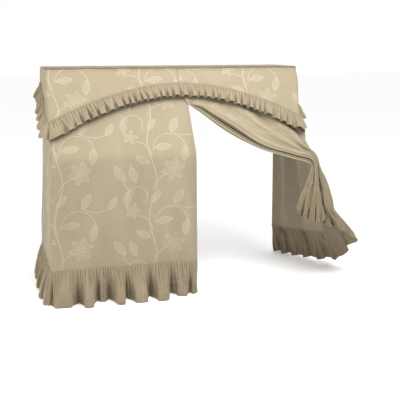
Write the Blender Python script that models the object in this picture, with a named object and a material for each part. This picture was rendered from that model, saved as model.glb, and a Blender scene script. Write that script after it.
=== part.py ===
"""Ruffled cloth cover for an upright piano, as it hangs on the piano with its right front curtain drawn aside.

The cover is a top panel, a valance with an arched lower edge, and floor-length curtains that part at the middle of
the front. Each lower edge carries a gathered ruffle. The piano is left out, so the cover is hollow.

Sizes are metres. The cloth is worked out from the floor (z = 0) and from the wall behind the piano (y = 0, the front
is -Y), and an empty then lowers it so that the row's origin is the middle of the top panel's underside.
"""

import math

import bpy
import numpy as np

# The piano that the cover fits, measured over the cloth.
TOP_WIDTH = 1.53
TOP_DEPTH = 0.36
TOP_HEIGHT = 1.285
KEYBED_DEPTH = 0.634
KEYBED_HEIGHT = 0.80
SLOPE_SAG = 0.012
LEAN_START = 0.024
BEND_LENGTH = 0.09
SPREAD = 0.012
PULL = 0.050
CORNER_RADIUS = 0.020
RIM_RADIUS = 0.010

# Cloth.
CLOTH = 0.002
SEAM_GAP = 0.0010
RUFFLE_GAP = 0.0022
RUFFLE_END = 0.0008
VALANCE_OUT = 0.005
CURTAIN_IN = 0.0042
CURTAIN_TOP = 0.009
SIDE_TOP = 0.0114
UPPER_ROWS = (0.022, 0.040)

# Valance: how far its seam hangs below the top edge, in the middle and at the corners.
ARCH_MIDDLE = 0.112
ARCH_CORNER = 0.345
ARCH_POWER = 1.8
BACK_FLAP = 0.20

# Ruffles.
VALANCE_RUFFLE = 0.096
VALANCE_FLUTE = 0.045
VALANCE_FLUTE_DEPTH = 0.014
VALANCE_SIDE_FLUTE_DEPTH = 0.020
VALANCE_FLARE = 0.026
CORNER_DROP = 0.20
CORNER_DROP_REACH = 0.12
HEM_SEAM_HEIGHT = 0.190
FRONT_FLUTE_DEPTH = 0.050
FRONT_FLARE = 0.055
SIDE_FLUTE = 0.092
SIDE_FLUTE_DEPTH = 0.026
SIDE_FLARE = 0.034
TAIL_FLUTE = 0.055
TAIL_FLUTE_DEPTH = 0.015
FLOOR_CLEARANCE = 0.004

# Where the left front curtain ends, past the cover's centre line.
LEFT_CURTAIN_EDGE = 0.042

# How far in front of the profile the right curtain lies where it laps over the left one.
LEFT_LAP = -0.0012

CLOTH_COLOUR = (0.60, 0.52, 0.38, 1.0)
RUFFLE_COLOUR = (0.56, 0.48, 0.35, 1.0)

# Flutes of the left hem ruffle, from the corner to the opening and from the wall to the corner: (width, crest).
LEFT_FRONT_FLUTES = (
    (0.130, 0.50),
    (0.095, 0.90),
    (0.066, -0.30),
    (0.088, 1.15),
    (0.125, 1.05),
    (0.120, 1.20),
    (0.098, 0.25),
    (0.050, -0.45),
)
LEFT_SIDE_FLUTES = ((0.085, 0.7), (0.100, 1.0), (0.075, 0.6), (0.095, 1.1), (0.070, 0.7), (0.100, 1.0), (0.080, 0.8))

# The right front curtain, drawn aside over the piano's right arm. These lines run down the cloth from the top seam
# to the hem seam, and a row is the same place on each. Each point is (x, z, how far in front of the front's profile).
FREE_EDGE = (
    (0.054, 1.276, -0.0042),
    (0.020, 1.108, 0.0035),
    (0.115, 1.018, 0.005),
    (0.258, 0.908, 0.007),
    (0.434, 0.815, 0.012),
    (0.600, 0.764, 0.025),
    (0.731, 0.718, 0.036),
    (0.706, 0.634, 0.042),
    (0.666, 0.552, 0.042),
)
UPPER_FOLD = (
    (0.300, 1.276, -0.0042),
    (0.120, 1.098, 0.001),
    (0.168, 1.056, 0.008),
    (0.312, 0.956, 0.012),
    (0.462, 0.850, 0.018),
    (0.626, 0.794, 0.030),
    (0.740, 0.752, 0.046),
    (0.752, 0.634, 0.070),
    (0.750, 0.545, 0.084),
)
ARM_CREASE = (
    (0.486, 1.276, -0.0042),
    (0.390, 1.150, -0.006),
    (0.415, 1.070, -0.004),
    (0.480, 0.990, 0.000),
    (0.590, 0.894, 0.004),
    (0.680, 0.818, 0.010),
    (0.758, 0.762, 0.024),
    (0.780, 0.628, 0.014),
    (0.816, 0.443, 0.006),
)
ARM_RIDGE = (
    (0.628, 1.276, -0.0042),
    (0.590, 1.180, -0.010),
    (0.595, 1.095, -0.010),
    (0.638, 1.000, -0.010),
    (0.696, 0.912, -0.012),
    (0.720, 0.832, -0.012),
    (0.775, 0.750, 0.000),
    (0.838, 0.618, 0.006),
    (0.898, 0.434, 0.010),
)
CORNER_SEAM = (
    (0.751, 1.276, -0.0090),
    (0.738, 1.185, -0.016),
    (0.724, 1.100, -0.026),
    (0.724, 1.000, -0.036),
    (0.752, 0.908, -0.050),
    (0.750, 0.840, -0.068),
    (0.779, 0.762, -0.098),
    (0.850, 0.590, -0.144),
    (0.938, 0.235, -0.196),
)
DRAPE_LINES = (FREE_EDGE, UPPER_FOLD, ARM_CREASE, ARM_RIDGE, CORNER_SEAM)
DRAPE_SHARES = (0.0, 0.36, 0.62, 0.82, 1.0)
DRAPE_ROWS = tuple(range(len(FREE_EDGE)))
LAST_ROW = DRAPE_ROWS[-1]
ARM_ROW = 6

# The right front curtain's ruffle: its hem at these shares of the way across, from the free edge to the corner seam.
DRAPE_HEM_SHARES = (0.0, 0.10, 0.20, 0.36, 0.62, 0.82, 1.0)
DRAPE_HEM = (
    (0.635, 0.455, 0.056),
    (0.650, 0.422, 0.078),
    (0.684, 0.402, 0.100),
    (0.742, 0.388, 0.118),
    (0.822, 0.352, 0.030),
    (1.012, 0.250, 0.050),
    (1.030, 0.045, -0.200),
)

# The rolls between the free edge and the upper fold, as (share of the way across, height), and their depth at each
# row. The groove between the two rolls is the deepest fold. Softer folds lie over the rest. All lean by FOLD_LEAN of
# their height towards the free edge.
ROLL_SHAPE = ((0.0, -0.3), (0.13, 0.9), (0.25, 0.3), (0.36, 0.8), (0.57, -1.3), (0.80, 1.0), (1.0, 0.2))
ROLL_DEPTH = (0.0, 0.002, 0.011, 0.017, 0.014, 0.011, 0.010, 0.011, 0.013)
BODY_FOLDS = 4
BODY_FOLD_DEPTH = (0.0, 0.002, 0.005, 0.009, 0.011, 0.010, 0.008, 0.014, 0.018)
FOLD_LEAN = 0.35


def smoothstep(low, high, value):
    """From 0 at low to 1 at high, easing at both. high may be the smaller."""
    t = np.clip((np.asarray(value, float) - low) / (high - low), 0.0, 1.0)
    return t * t * (3.0 - 2.0 * t)


def through(knots, values, at):
    """A smooth curve through values at knots, read at the places in at."""
    knots = np.asarray(knots, float)
    values = np.asarray(values, float)
    slopes = np.gradient(values, knots, axis=0)
    at = np.clip(at, knots[0], knots[-1])
    i = np.clip(np.searchsorted(knots, at, side="right") - 1, 0, len(knots) - 2)
    width = knots[i + 1] - knots[i]
    t = (at - knots[i]) / width
    shape = (...,) + (None,) * (values.ndim - 1)
    t, width = t[shape], width[shape]
    h01 = t * t * (3 - 2 * t)
    h10 = t * (1 - t) ** 2
    h11 = t * t * (t - 1)
    return (1 - h01) * values[i] + h01 * values[i + 1] + width * (h10 * slopes[i] + h11 * slopes[i + 1])


def unit(vectors):
    return vectors / np.maximum(np.linalg.norm(vectors, axis=-1, keepdims=True), 1e-12)


# The front's profile: upright at the top seam, then leaning out to the key bed, and hanging straight from there.

SLOPE_LENGTH = math.hypot(KEYBED_DEPTH - TOP_DEPTH, TOP_HEIGHT - KEYBED_HEIGHT)
SLOPE_LEAN = math.asin((KEYBED_DEPTH - TOP_DEPTH) / (SLOPE_LENGTH - LEAN_START))
PROFILE_STEP = 0.002
PROFILE_AT = np.arange(0.0, SLOPE_LENGTH + KEYBED_HEIGHT, PROFILE_STEP)
PROFILE_LEAN = (
    SLOPE_LEAN
    * smoothstep(0.5 * LEAN_START, 1.5 * LEAN_START, PROFILE_AT)
    * (1 - smoothstep(SLOPE_LENGTH - BEND_LENGTH / 2, SLOPE_LENGTH + BEND_LENGTH / 2, PROFILE_AT))
)
PROFILE_SAG = SLOPE_SAG * np.sin(math.pi * np.clip(PROFILE_AT / SLOPE_LENGTH, 0, 1)) ** 2
PROFILE_Y = PROFILE_SAG - TOP_DEPTH - np.concatenate([[0], np.cumsum(np.sin(PROFILE_LEAN[:-1]))]) * PROFILE_STEP
PROFILE_Z = TOP_HEIGHT - np.concatenate([[0], np.cumsum(np.cos(PROFILE_LEAN[:-1]))]) * PROFILE_STEP
HEM_SEAM_AT = float(np.interp(-HEM_SEAM_HEIGHT, -PROFILE_Z, PROFILE_AT))


def profile(down):
    """(y, z) of the front and the outward normal's (y, z), this far down the cloth from the top edge."""
    down = np.asarray(down, float)
    lean = np.interp(down, PROFILE_AT, PROFILE_LEAN)
    y = np.interp(down, PROFILE_AT, PROFILE_Y)
    z = np.interp(down, PROFILE_AT, PROFILE_Z)
    return y, z, -np.cos(lean), np.sin(lean)


def down_at(z):
    """How far down the cloth the front's profile is at this height."""
    return np.interp(-np.asarray(z, float), -PROFILE_Z, PROFILE_AT)


def in_front(points):
    """Points given as (x, z, distance in front of the profile) as (x, y, z)."""
    points = np.asarray(points, float)
    y = np.interp(-points[..., 1], -PROFILE_Z, PROFILE_Y) - points[..., 2]
    return np.stack([points[..., 0], y, points[..., 1]], axis=-1)


def round_corner(along):
    """A plan's rounded corner. along is the distance from its middle, negative on the side and positive on the front.
    It gives (x, y) in from the sharp corner, and the outward normal's (x, y)."""
    half = math.pi * CORNER_RADIUS / 4
    turn = np.clip(along, -half, half) / CORNER_RADIUS + math.pi / 4
    x = CORNER_RADIUS * (1 - np.cos(turn)) + np.maximum(along - half, 0.0)
    y = CORNER_RADIUS * (1 - np.sin(turn)) + np.maximum(-along - half, 0.0)
    return x, y, -np.cos(turn), -np.sin(turn)


def wall(hand, along, down, out=0.0):
    """Points on the cover's left (hand -1) or right (hand 1) half. along runs from the front corner: negative along
    the side and positive along the front. down is along the cloth, and out is off the wall."""
    along, down, out = np.broadcast_arrays(np.asarray(along, float), np.asarray(down, float), np.asarray(out, float))
    front_y, z, lean_y, lean_z = profile(down)
    x, y, normal_x, normal_y = round_corner(along)
    front_share = np.abs(normal_y)
    normals = unit(np.stack([normal_x, lean_y * front_share, lean_z * front_share], axis=-1))
    if hand < 0:
        spread = SPREAD * smoothstep(0.45, 1.15, down)
    else:
        spread = -PULL * smoothstep(0.0, 0.45, down) * (1 - smoothstep(0.0, 0.16, -along))
    spread = spread * (1 - np.clip(x / (TOP_WIDTH / 2), 0, 1))
    points = np.stack([-TOP_WIDTH / 2 + x - spread, front_y + y, z], axis=-1) + normals * out[..., None]
    points[..., 0] *= -hand
    normals[..., 0] *= -hand
    return points, normals


def side_length(down):
    """How far along the side the back edge lies from the corner's middle."""
    half = math.pi * CORNER_RADIUS / 4
    return -profile(down)[0] - CORNER_RADIUS + half


FRONT_LENGTH = TOP_WIDTH / 2 - CORNER_RADIUS + math.pi * CORNER_RADIUS / 4


def valance_drop(hand, along):
    """How far down the valance's seam lies. The front arches up to the middle, and the side up to the back."""
    front = (1 - np.clip(along / FRONT_LENGTH, 0, 1)) ** ARCH_POWER
    side = (1 - np.clip(-along / TOP_DEPTH, 0, 1)) ** ARCH_POWER
    share = np.where(np.asarray(along) > 0, front, side)
    return ARCH_MIDDLE + (ARCH_CORNER - ARCH_MIDDLE) * share


# Solids.


def normals_of(grid):
    """The grid's normals, as across x down."""
    across = np.gradient(grid, axis=0)
    down = np.gradient(grid, axis=1)
    return unit(np.cross(across, down))


def cloth_material(name, colour):
    material = bpy.data.materials.new(name)
    material.use_nodes = True
    shader = material.node_tree.nodes["Principled BSDF"]
    shader.inputs["Base Color"].default_value = colour
    shader.inputs["Roughness"].default_value = 0.85
    shader.inputs["Metallic"].default_value = 0.0
    return material


def add_object(name, vertices, faces, material):
    mesh = bpy.data.meshes.new(name)
    mesh.from_pydata([tuple(map(float, v)) for v in vertices], [], faces)
    mesh.validate()
    mesh.update()
    mesh.materials.append(material)
    mesh.shade_smooth()
    mesh.set_sharp_from_angle(angle=math.radians(60))
    piece = bpy.data.objects.new(name, mesh)
    bpy.context.scene.collection.objects.link(piece)
    piece.parent = PIANO_TOP
    return piece


def add_sheet(name, grid, material, outward, normals=None):
    """A sheet of cloth around a grid of points (across, down), with the side that faces outward first. Both sides are
    split along the same diagonals, so that the sheet is equally thick on a twisted cell."""
    if (normals_of(grid) @ np.asarray(outward, float)).mean() < 0:
        grid = grid[::-1]
        normals = None if normals is None else normals[::-1]
    if normals is None:
        normals = normals_of(grid)
    if (normals @ np.asarray(outward, float)).mean() < 0:
        normals = -normals
    n, m = grid.shape[:2]
    outer = (grid + normals * CLOTH / 2).reshape(-1, 3)
    inner = (grid - normals * CLOTH / 2).reshape(-1, 3)
    index = np.arange(n * m).reshape(n, m)
    faces = []
    for i in range(n - 1):
        for j in range(m - 1):
            a, b, c, d = (int(index[k]) for k in ((i, j), (i + 1, j), (i + 1, j + 1), (i, j + 1)))
            for p, q, r in ((a, b, c), (a, c, d)):
                faces += [(p, q, r), (r + n * m, q + n * m, p + n * m)]
    rim = [*index[:, 0], *index[-1, 1:], *index[-2::-1, -1], *index[0, -2:0:-1]]
    for a, b in zip(rim, rim[1:] + rim[:1]):
        a, b = int(a), int(b)
        faces.append((b, a, a + n * m, b + n * m))
    return add_object(name, np.concatenate([outer, inner]), faces, material)


def rounded_plan(inset, corner_steps):
    """The top's outline, turning left, with its edges moved in by inset."""
    radius = max(CORNER_RADIUS - inset, 0.002)
    half_width = TOP_WIDTH / 2 - inset
    corners = (
        (half_width - radius, -inset - radius, 0.0),
        (-half_width + radius, -inset - radius, 0.5 * math.pi),
        (-half_width + radius, -TOP_DEPTH + inset + radius, math.pi),
        (half_width - radius, -TOP_DEPTH + inset + radius, 1.5 * math.pi),
    )
    turns = [k * math.pi / 2 / corner_steps for k in range(corner_steps + 1)]
    return [
        (x + radius * math.cos(start + turn), y + radius * math.sin(start + turn))
        for x, y, start in corners
        for turn in turns
    ]


def make_top_panel(material):
    """The flat top, with its edge turned down to the seam."""
    corner_steps, rim_steps = 4, 3
    rings = []
    for thickness in (0.0, CLOTH):
        for k in range(rim_steps + 1):
            turn = k * math.pi / 2 / rim_steps
            radius = RIM_RADIUS - thickness
            inset = thickness + radius * (1 - math.cos(turn))
            z = TOP_HEIGHT - RIM_RADIUS + radius * math.sin(turn)
            rings.append([(x, y, z) for x, y in rounded_plan(inset, corner_steps)])
    count = len(rings[0])
    vertices = [v for ring in rings for v in ring]
    faces = []
    layer = rim_steps + 1
    for k in range(rim_steps):
        for i in range(count):
            j = (i + 1) % count
            a, b = k * count, (k + 1) * count
            faces.append((a + i, a + j, b + j, b + i))
            a, b = (layer + k) * count, (layer + k + 1) * count
            faces.append((b + i, b + j, a + j, a + i))
    for i in range(count):
        j = (i + 1) % count
        faces.append((layer * count + i, layer * count + j, j, i))
    faces.append([rim_steps * count + i for i in range(count)])
    faces.append([(layer + rim_steps) * count + i for i in reversed(range(count))])
    return add_object("top_panel", vertices, faces, material)


def spaced(first, last, count):
    """Places along the cloth, with two more on the rounded corner that it starts or ends on."""
    half = math.pi * CORNER_RADIUS / 4
    places = np.linspace(first, last, count)
    corner = [p for p in (-half, -half / 2, half / 2, half) if first < p < last]
    keep = [p for p in places[1:-1] if abs(p) > half * 1.4]
    return np.array(sorted([first, last, *corner, *keep]))


def make_valance(hand, part, material):
    """One half of the valance's front, or its side: part is front or side."""
    side = "left" if hand < 0 else "right"
    if part == "front":
        along = spaced(SEAM_GAP / 2, FRONT_LENGTH - SEAM_GAP / 2, 15)
    else:
        along = spaced(-side_length(0.0) + 0.001, -SEAM_GAP / 2, 8)
    drop = valance_drop(hand, along)[:, None]
    upper = np.broadcast_to((RIM_RADIUS + SEAM_GAP, *UPPER_ROWS), (len(along), 3))
    down = np.concatenate([upper, (upper[:, -1:] + drop) / 2, drop], axis=1)
    out = -CLOTH / 2 + VALANCE_OUT * smoothstep(0.0, 0.10, down)
    grid, normals = wall(hand, along[:, None], down, out)
    outward = (0, -1, 0) if part == "front" else (hand, 0, 0)
    return add_sheet(f"valance_{part}_{side}", grid, material, outward, normals)


def make_back_flap(material):
    """The short plain drop behind the top."""
    x = np.linspace(-TOP_WIDTH / 2 + CORNER_RADIUS, TOP_WIDTH / 2 - CORNER_RADIUS, 13)
    z = np.linspace(TOP_HEIGHT - RIM_RADIUS - SEAM_GAP, TOP_HEIGHT - BACK_FLAP, 4)
    xs, zs = np.meshgrid(x, z, indexing="ij")
    fall = (TOP_HEIGHT - zs) / BACK_FLAP
    y = -CLOTH / 2 - 0.0015 - 0.003 * fall * (1 + np.sin(2 * math.pi * xs / 0.37))
    return add_sheet("back_flap", np.stack([xs, y, zs], axis=-1), material, (0, 1, 0))


def uneven_flutes(length, pitch, seed):
    """Flutes of about this pitch as rows of (width, crest)."""
    chance = np.random.default_rng(seed)
    count = max(2, round(length / pitch))
    return [(chance.uniform(0.65, 1.35), chance.uniform(0.5, 1.3)) for _ in range(count)]


def make_ruffle(name, head, hem, out, flutes, depth, material, outward, columns=6, rows=2, puff=0.0):
    """A gathered strip. head(a), hem(a) and out(a) give points and the outward direction for a from 0 to 1 along it.
    Each flute is a valley at either side and its crest between them."""
    widths, crests = np.array(flutes).T
    ends = np.concatenate([[0], np.cumsum(widths)]) / widths.sum()
    place = np.linspace(0, len(widths), len(widths) * columns + 1)
    crest = crests[np.minimum(place.astype(int), len(widths) - 1)]
    phase = 2 * math.pi * place
    along = np.interp(place, np.arange(len(ends)), ends)
    share = np.linspace(0, 1, rows + 1) ** 1.25
    top, bottom, outwards = head(along), hem(along), out(along)
    tangent = unit(np.gradient(top, axis=0))
    grid = top[:, None] + (bottom - top)[:, None] * share[None, :, None]
    shape = (1 + crest) * np.abs(np.sin(phase / 2)) ** 1.4 - 1
    swing = depth * smoothstep(-0.05, 0.9, share)[None, :] * shape[:, None]
    lean = 0.30 * depth * smoothstep(0.0, 1.0, share)[None, :] * np.sin(2 * phase)[:, None]
    near_end = np.minimum(along, 1 - along)[:, None] * len(widths)
    lean = lean * smoothstep(0.0, 0.5, near_end)
    swing = swing + puff * np.sin(math.pi * share)[None, :]
    grid = grid + outwards[:, None] * swing[..., None] - tangent[:, None] * lean[..., None]
    normals = normals_of(grid)
    for end in (0, -1):
        level = normals[end] - tangent[end] * (normals[end] @ tangent[end])[:, None]
        normals[end] = unit(level)
    return add_sheet(name, grid, material, outward, normals)


def make_valance_ruffle(hand, part, seed, material):
    side = "left" if hand < 0 else "right"
    if part == "front":
        first, last = RUFFLE_END, FRONT_LENGTH - RUFFLE_END
    else:
        first, last = -side_length(0.0) + 0.004, -RUFFLE_END

    def place(a, below, off):
        along = first + (last - first) * np.asarray(a, float)
        drop = valance_drop(hand, along)
        slope = np.gradient(drop, along)
        tilt = 0.6 * np.arctan(slope)
        below = below * (1 + CORNER_DROP * np.exp(-np.abs(along) / CORNER_DROP_REACH))
        sideways = np.sin(tilt) * below * smoothstep(0.0, 0.06, np.minimum(along - first, last - along))
        return wall(hand, along - sideways, drop + RUFFLE_GAP + np.cos(tilt) * below, VALANCE_OUT - CLOTH / 2 + off)

    def head(a):
        return place(a, 0.0, 0.0)[0]

    def hem(a):
        return place(a, VALANCE_RUFFLE, VALANCE_FLARE)[0]

    def out(a):
        return place(a, 0.0, 0.0)[1]

    outward = (0, -1, 0) if part == "front" else (hand, 0, 0)
    flutes = uneven_flutes(last - first, VALANCE_FLUTE, seed)
    name = f"valance_ruffle_{part}_{side}"
    depth = VALANCE_FLUTE_DEPTH if part == "front" else VALANCE_SIDE_FLUTE_DEPTH
    return make_ruffle(name, head, hem, out, flutes, depth, material, outward)


def left_front_ripple(x, down):
    """How far the left front curtain stands off its plane: soft folds that deepen towards the hem."""
    grow = smoothstep(0.15, HEM_SEAM_AT, down)
    waves = 0.0045 * np.sin(2 * math.pi * x / 0.33 + 0.6) + 0.0030 * np.sin(2 * math.pi * x / 0.19 + 2.0)
    edge_fold = 0.012 * np.exp(-(((x - LEFT_CURTAIN_EDGE + 0.045) / 0.045) ** 2))
    return grow * (waves + edge_fold)


def make_left_front_curtain(material):
    last = FRONT_LENGTH + LEFT_CURTAIN_EDGE
    along = spaced(SEAM_GAP / 2, last, 16)[:, None]
    down = np.concatenate([[CURTAIN_TOP, UPPER_ROWS[0]], np.linspace(UPPER_ROWS[1], HEM_SEAM_AT, 15)])[None, :]
    x = -TOP_WIDTH / 2 + round_corner(along)[0]
    out = -CURTAIN_IN + 0.004 * smoothstep(0.35, 0.60, down) + left_front_ripple(x, down)
    grid, normals = wall(-1, along, down, out)
    return add_sheet("curtain_front_left", grid, material, (0, -1, 0), normals)


def left_side_out(share, down):
    """How far the left side curtain stands off the piano's side."""
    grow = smoothstep(0.30, HEM_SEAM_AT, down)
    back = 0.006 * (1 - share)
    return -CURTAIN_IN + grow * (0.004 + back + 0.006 * np.sin(2 * math.pi * share * 2.2 + 0.4) ** 2)


def make_left_side_curtain(material):
    down = np.concatenate([[SIDE_TOP, UPPER_ROWS[0]], np.linspace(UPPER_ROWS[1], HEM_SEAM_AT, 13)])[None, :]
    length = side_length(down)
    round_part = math.pi * CORNER_RADIUS / 4 / float(length.min())
    share = np.concatenate([np.linspace(0, 1 - 1.5 * round_part, 8), 1 - round_part * np.linspace(1.0, 0.0, 5)])[:, None]
    along = -length * (1 - share) - SEAM_GAP / 2
    grid, normals = wall(-1, along, down, left_side_out(share, down))
    return add_sheet("curtain_side_left", grid, material, (-1, 0, 0), normals)


def make_left_hem_ruffle(part, flutes, material):
    if part == "front":
        first, last = RUFFLE_END, FRONT_LENGTH + LEFT_CURTAIN_EDGE
        flare, depth = FRONT_FLARE, FRONT_FLUTE_DEPTH
    else:
        first, last = -side_length(HEM_SEAM_AT), -RUFFLE_END
        flare, depth = SIDE_FLARE, SIDE_FLUTE_DEPTH

    def corner_turn(along):
        """The flare's direction, turning gently round the corner."""
        turn = math.pi / 4 + np.clip(along / 0.12, -1, 1) * math.pi / 4
        return np.stack([-np.cos(turn), -np.sin(turn), np.zeros_like(turn)], axis=-1)

    def head(a):
        along = first + (last - first) * np.asarray(a, float)
        x = -TOP_WIDTH / 2 + round_corner(along)[0]
        share = 1 + along / side_length(HEM_SEAM_AT)
        off = np.where(
            along > 0,
            -CURTAIN_IN + 0.004 + left_front_ripple(x, HEM_SEAM_AT),
            left_side_out(share, HEM_SEAM_AT),
        )
        return wall(-1, along, HEM_SEAM_AT + RUFFLE_GAP, off)[0]

    def out(a):
        return corner_turn(first + (last - first) * np.asarray(a, float))

    def hem(a):
        points = head(a)
        lift = 0.006 * (1 + np.sin(9.0 * np.asarray(a, float) + 1.0))
        points = points + out(a) * flare
        points[..., 2] = FLOOR_CLEARANCE + lift
        return points

    outward = (0, -1, 0) if part == "front" else (-1, 0, 0)
    return make_ruffle(f"hem_ruffle_{part}_left", head, hem, out, flutes, depth, material, outward, 8, 4)


def drape_base(share, row):
    """The drawn curtain's middle surface without its folds."""
    lines = [through(DRAPE_ROWS, in_front(line), row) for line in DRAPE_LINES]
    return through(DRAPE_SHARES, lines, share)


def drape_folds(share, row):
    """The folds' height: tight rolls beside the free edge, and softer ones over the rest."""
    roll = through(DRAPE_ROWS, ROLL_DEPTH, row)[None, :]
    body = through(DRAPE_ROWS, BODY_FOLD_DEPTH, row)[None, :]
    edge = DRAPE_SHARES[1]
    places, heights = np.array(ROLL_SHAPE).T
    rolled = through(places, heights, share / edge)[:, None]
    beyond = np.clip((share - edge) / (1 - edge), 0, 1)[:, None]
    rest = np.sin(2 * math.pi * BODY_FOLDS * beyond + 0.5) * np.sin(math.pi * beyond) ** 0.5
    near = 1 - smoothstep(0.0, 0.06, beyond)
    return roll * rolled * near + body * rest * (1 - near)


def tucked(grid):
    """The grid held between the valance with its ruffle and, at the middle, the left curtain."""
    down = down_at(grid[..., 2])
    below = down - valance_drop(1, TOP_WIDTH / 2 - grid[..., 0])
    room = -CURTAIN_IN + VALANCE_OUT * smoothstep(0.0, 0.10, down)
    room = room + 0.011 * smoothstep(0.0, VALANCE_RUFFLE, below) + 0.1 * smoothstep(VALANCE_RUFFLE, 0.2, below)
    over_left = smoothstep(LEFT_CURTAIN_EDGE + 0.020, LEFT_CURTAIN_EDGE + 0.008, grid[..., 0])
    least = over_left * (LEFT_LAP + 0.02) - 0.02
    front = np.interp(down, PROFILE_AT, PROFILE_Y)
    standing = np.clip(front - grid[..., 1], np.where(over_left > 0, least, -1.0), room)
    grid[..., 1] = front - standing
    return grid


def drape_grid(share, row):
    base = drape_base(share, row)
    normals = normals_of(base)
    if normals[..., 1].mean() > 0:
        normals = -normals
    across = unit(np.gradient(base, axis=0))
    folds = drape_folds(share, row)[..., None]
    return tucked(base + normals * folds - across * FOLD_LEAN * folds)


def drape_columns(rolls_columns, body_columns):
    edge = DRAPE_SHARES[1]
    return np.concatenate([np.linspace(0, edge, rolls_columns, endpoint=False), np.linspace(edge, 1, body_columns)])


def make_right_front_curtain(material):
    share = drape_columns(15, 16)
    to_arm = np.concatenate([[0.0, 0.07, 0.18], np.linspace(0.36, ARM_ROW - 0.8, 12)])
    row = np.concatenate([to_arm, ARM_ROW + np.linspace(-0.5, 0.7, 6), [7.1, 7.55, LAST_ROW]])
    grid = drape_grid(share, row)
    return add_sheet("curtain_front_right", grid, material, (0, -1, 0))


def make_right_hem_ruffle(seed, material):
    share = drape_columns(15, 16)
    seam = drape_grid(share, np.linspace(LAST_ROW - 0.2, LAST_ROW, 3))[:, -1]

    def head(a):
        return through(share, seam, np.asarray(a, float)) - np.array([0, 0, SEAM_GAP + CLOTH])

    def hem(a):
        return through(DRAPE_HEM_SHARES, in_front(DRAPE_HEM), np.asarray(a, float))

    def out(a):
        tangent = unit(np.gradient(hem(a), axis=0))
        return unit(np.stack([tangent[:, 1], -tangent[:, 0], np.zeros(len(tangent))], axis=-1))

    flutes = uneven_flutes(0.55, TAIL_FLUTE, seed)
    return make_ruffle("hem_ruffle_front_right", head, hem, out, flutes, TAIL_FLUTE_DEPTH, material, (0, -1, 0), 6, 4)


def right_side_grid(share, row):
    """The right side curtain: from its straight back edge (share 0) to the corner seam (share 1)."""
    seam = through(DRAPE_ROWS, in_front(CORNER_SEAM), np.linspace(0, LAST_ROW, 200))
    reached = np.concatenate([[0], np.cumsum(np.linalg.norm(np.diff(seam, axis=0), axis=1))])
    down = np.interp(row, np.linspace(0, LAST_ROW, 200), reached / reached[-1])
    front = through(DRAPE_ROWS, in_front(CORNER_SEAM), row) - np.array([[0, 0, SIDE_TOP - CURTAIN_TOP]])
    height = (TOP_HEIGHT - SIDE_TOP) * (1 - down) + HEM_SEAM_HEIGHT * down
    back = np.stack([np.full_like(height, TOP_WIDTH / 2 - CURTAIN_IN), np.full_like(height, -0.001), height], axis=-1)
    free = smoothstep(ARM_ROW - 1.5, ARM_ROW + 0.5, row)[None, :]
    sideways = free * share[:, None] ** 1.3 + (1 - free) * smoothstep(0.70, 1.0, share)[:, None]
    forwards = np.broadcast_to(share[:, None], sideways.shape)
    grid = back[None] + (front - back)[None] * np.stack([sideways, forwards, forwards**1.3], axis=-1)
    grow = smoothstep(ARM_ROW - 3.0, LAST_ROW, row)[None, :]
    waves = 0.020 * np.sin(2 * math.pi * share * 2.5 - 0.3)[:, None] * np.sin(math.pi * share)[:, None]
    grid[..., 0] += grow * (waves + 0.018 * np.sin(math.pi * share)[:, None])
    grid[..., 1] += (SEAM_GAP + CLOTH) * share[:, None]
    return grid


def make_right_side_curtain(material):
    grid = right_side_grid(np.linspace(0, 1, 14), np.linspace(0, LAST_ROW, 17))
    return add_sheet("curtain_side_right", grid, material, (1, 0, 0))


def make_right_side_ruffle(seed, material):
    share = np.linspace(0, 1, 15)
    seam = right_side_grid(share, np.array([LAST_ROW - 0.1, LAST_ROW]))[:, -1]
    corner_hem = in_front(DRAPE_HEM)[-1]

    def head(a):
        return through(share, seam, np.asarray(a, float)) - np.array([0, 0, SEAM_GAP + CLOTH])

    def hem(a):
        a = np.asarray(a, float)
        back = np.array([TOP_WIDTH / 2 + SIDE_FLARE, -0.004, FLOOR_CLEARANCE])
        ease = np.stack([a**1.3, a, a**1.8], axis=-1)
        return back + (corner_hem + [0, 3 * CLOTH + SEAM_GAP, 0] - back) * ease

    def out(a):
        tangent = unit(np.gradient(hem(a), axis=0))
        return unit(np.stack([-tangent[:, 1], tangent[:, 0], np.zeros(len(tangent))], axis=-1))

    flutes = uneven_flutes(0.50, SIDE_FLUTE, seed)
    return make_ruffle("hem_ruffle_side_right", head, hem, out, flutes, SIDE_FLUTE_DEPTH, material, (1, 0, 0), 6, 4)


for leftover in list(bpy.data.objects):
    bpy.data.objects.remove(leftover)

PIANO_TOP = bpy.data.objects.new("piano_top", None)
PIANO_TOP.location = (0.0, TOP_DEPTH / 2, -(TOP_HEIGHT - CLOTH))
bpy.context.scene.collection.objects.link(PIANO_TOP)

CLOTH_MATERIAL = cloth_material("cover_cloth", CLOTH_COLOUR)
RUFFLE_MATERIAL = cloth_material("ruffle_cloth", RUFFLE_COLOUR)

make_top_panel(CLOTH_MATERIAL)
make_back_flap(CLOTH_MATERIAL)
for hand in (-1, 1):
    for part in ("front", "side"):
        make_valance(hand, part, CLOTH_MATERIAL)
        make_valance_ruffle(hand, part, 11 + hand + (5 if part == "side" else 0), RUFFLE_MATERIAL)
make_left_front_curtain(CLOTH_MATERIAL)
make_left_side_curtain(CLOTH_MATERIAL)
make_left_hem_ruffle("front", LEFT_FRONT_FLUTES, RUFFLE_MATERIAL)
make_left_hem_ruffle("side", LEFT_SIDE_FLUTES, RUFFLE_MATERIAL)
make_right_front_curtain(CLOTH_MATERIAL)
make_right_hem_ruffle(23, RUFFLE_MATERIAL)
make_right_side_curtain(CLOTH_MATERIAL)
make_right_side_ruffle(24, RUFFLE_MATERIAL)
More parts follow.
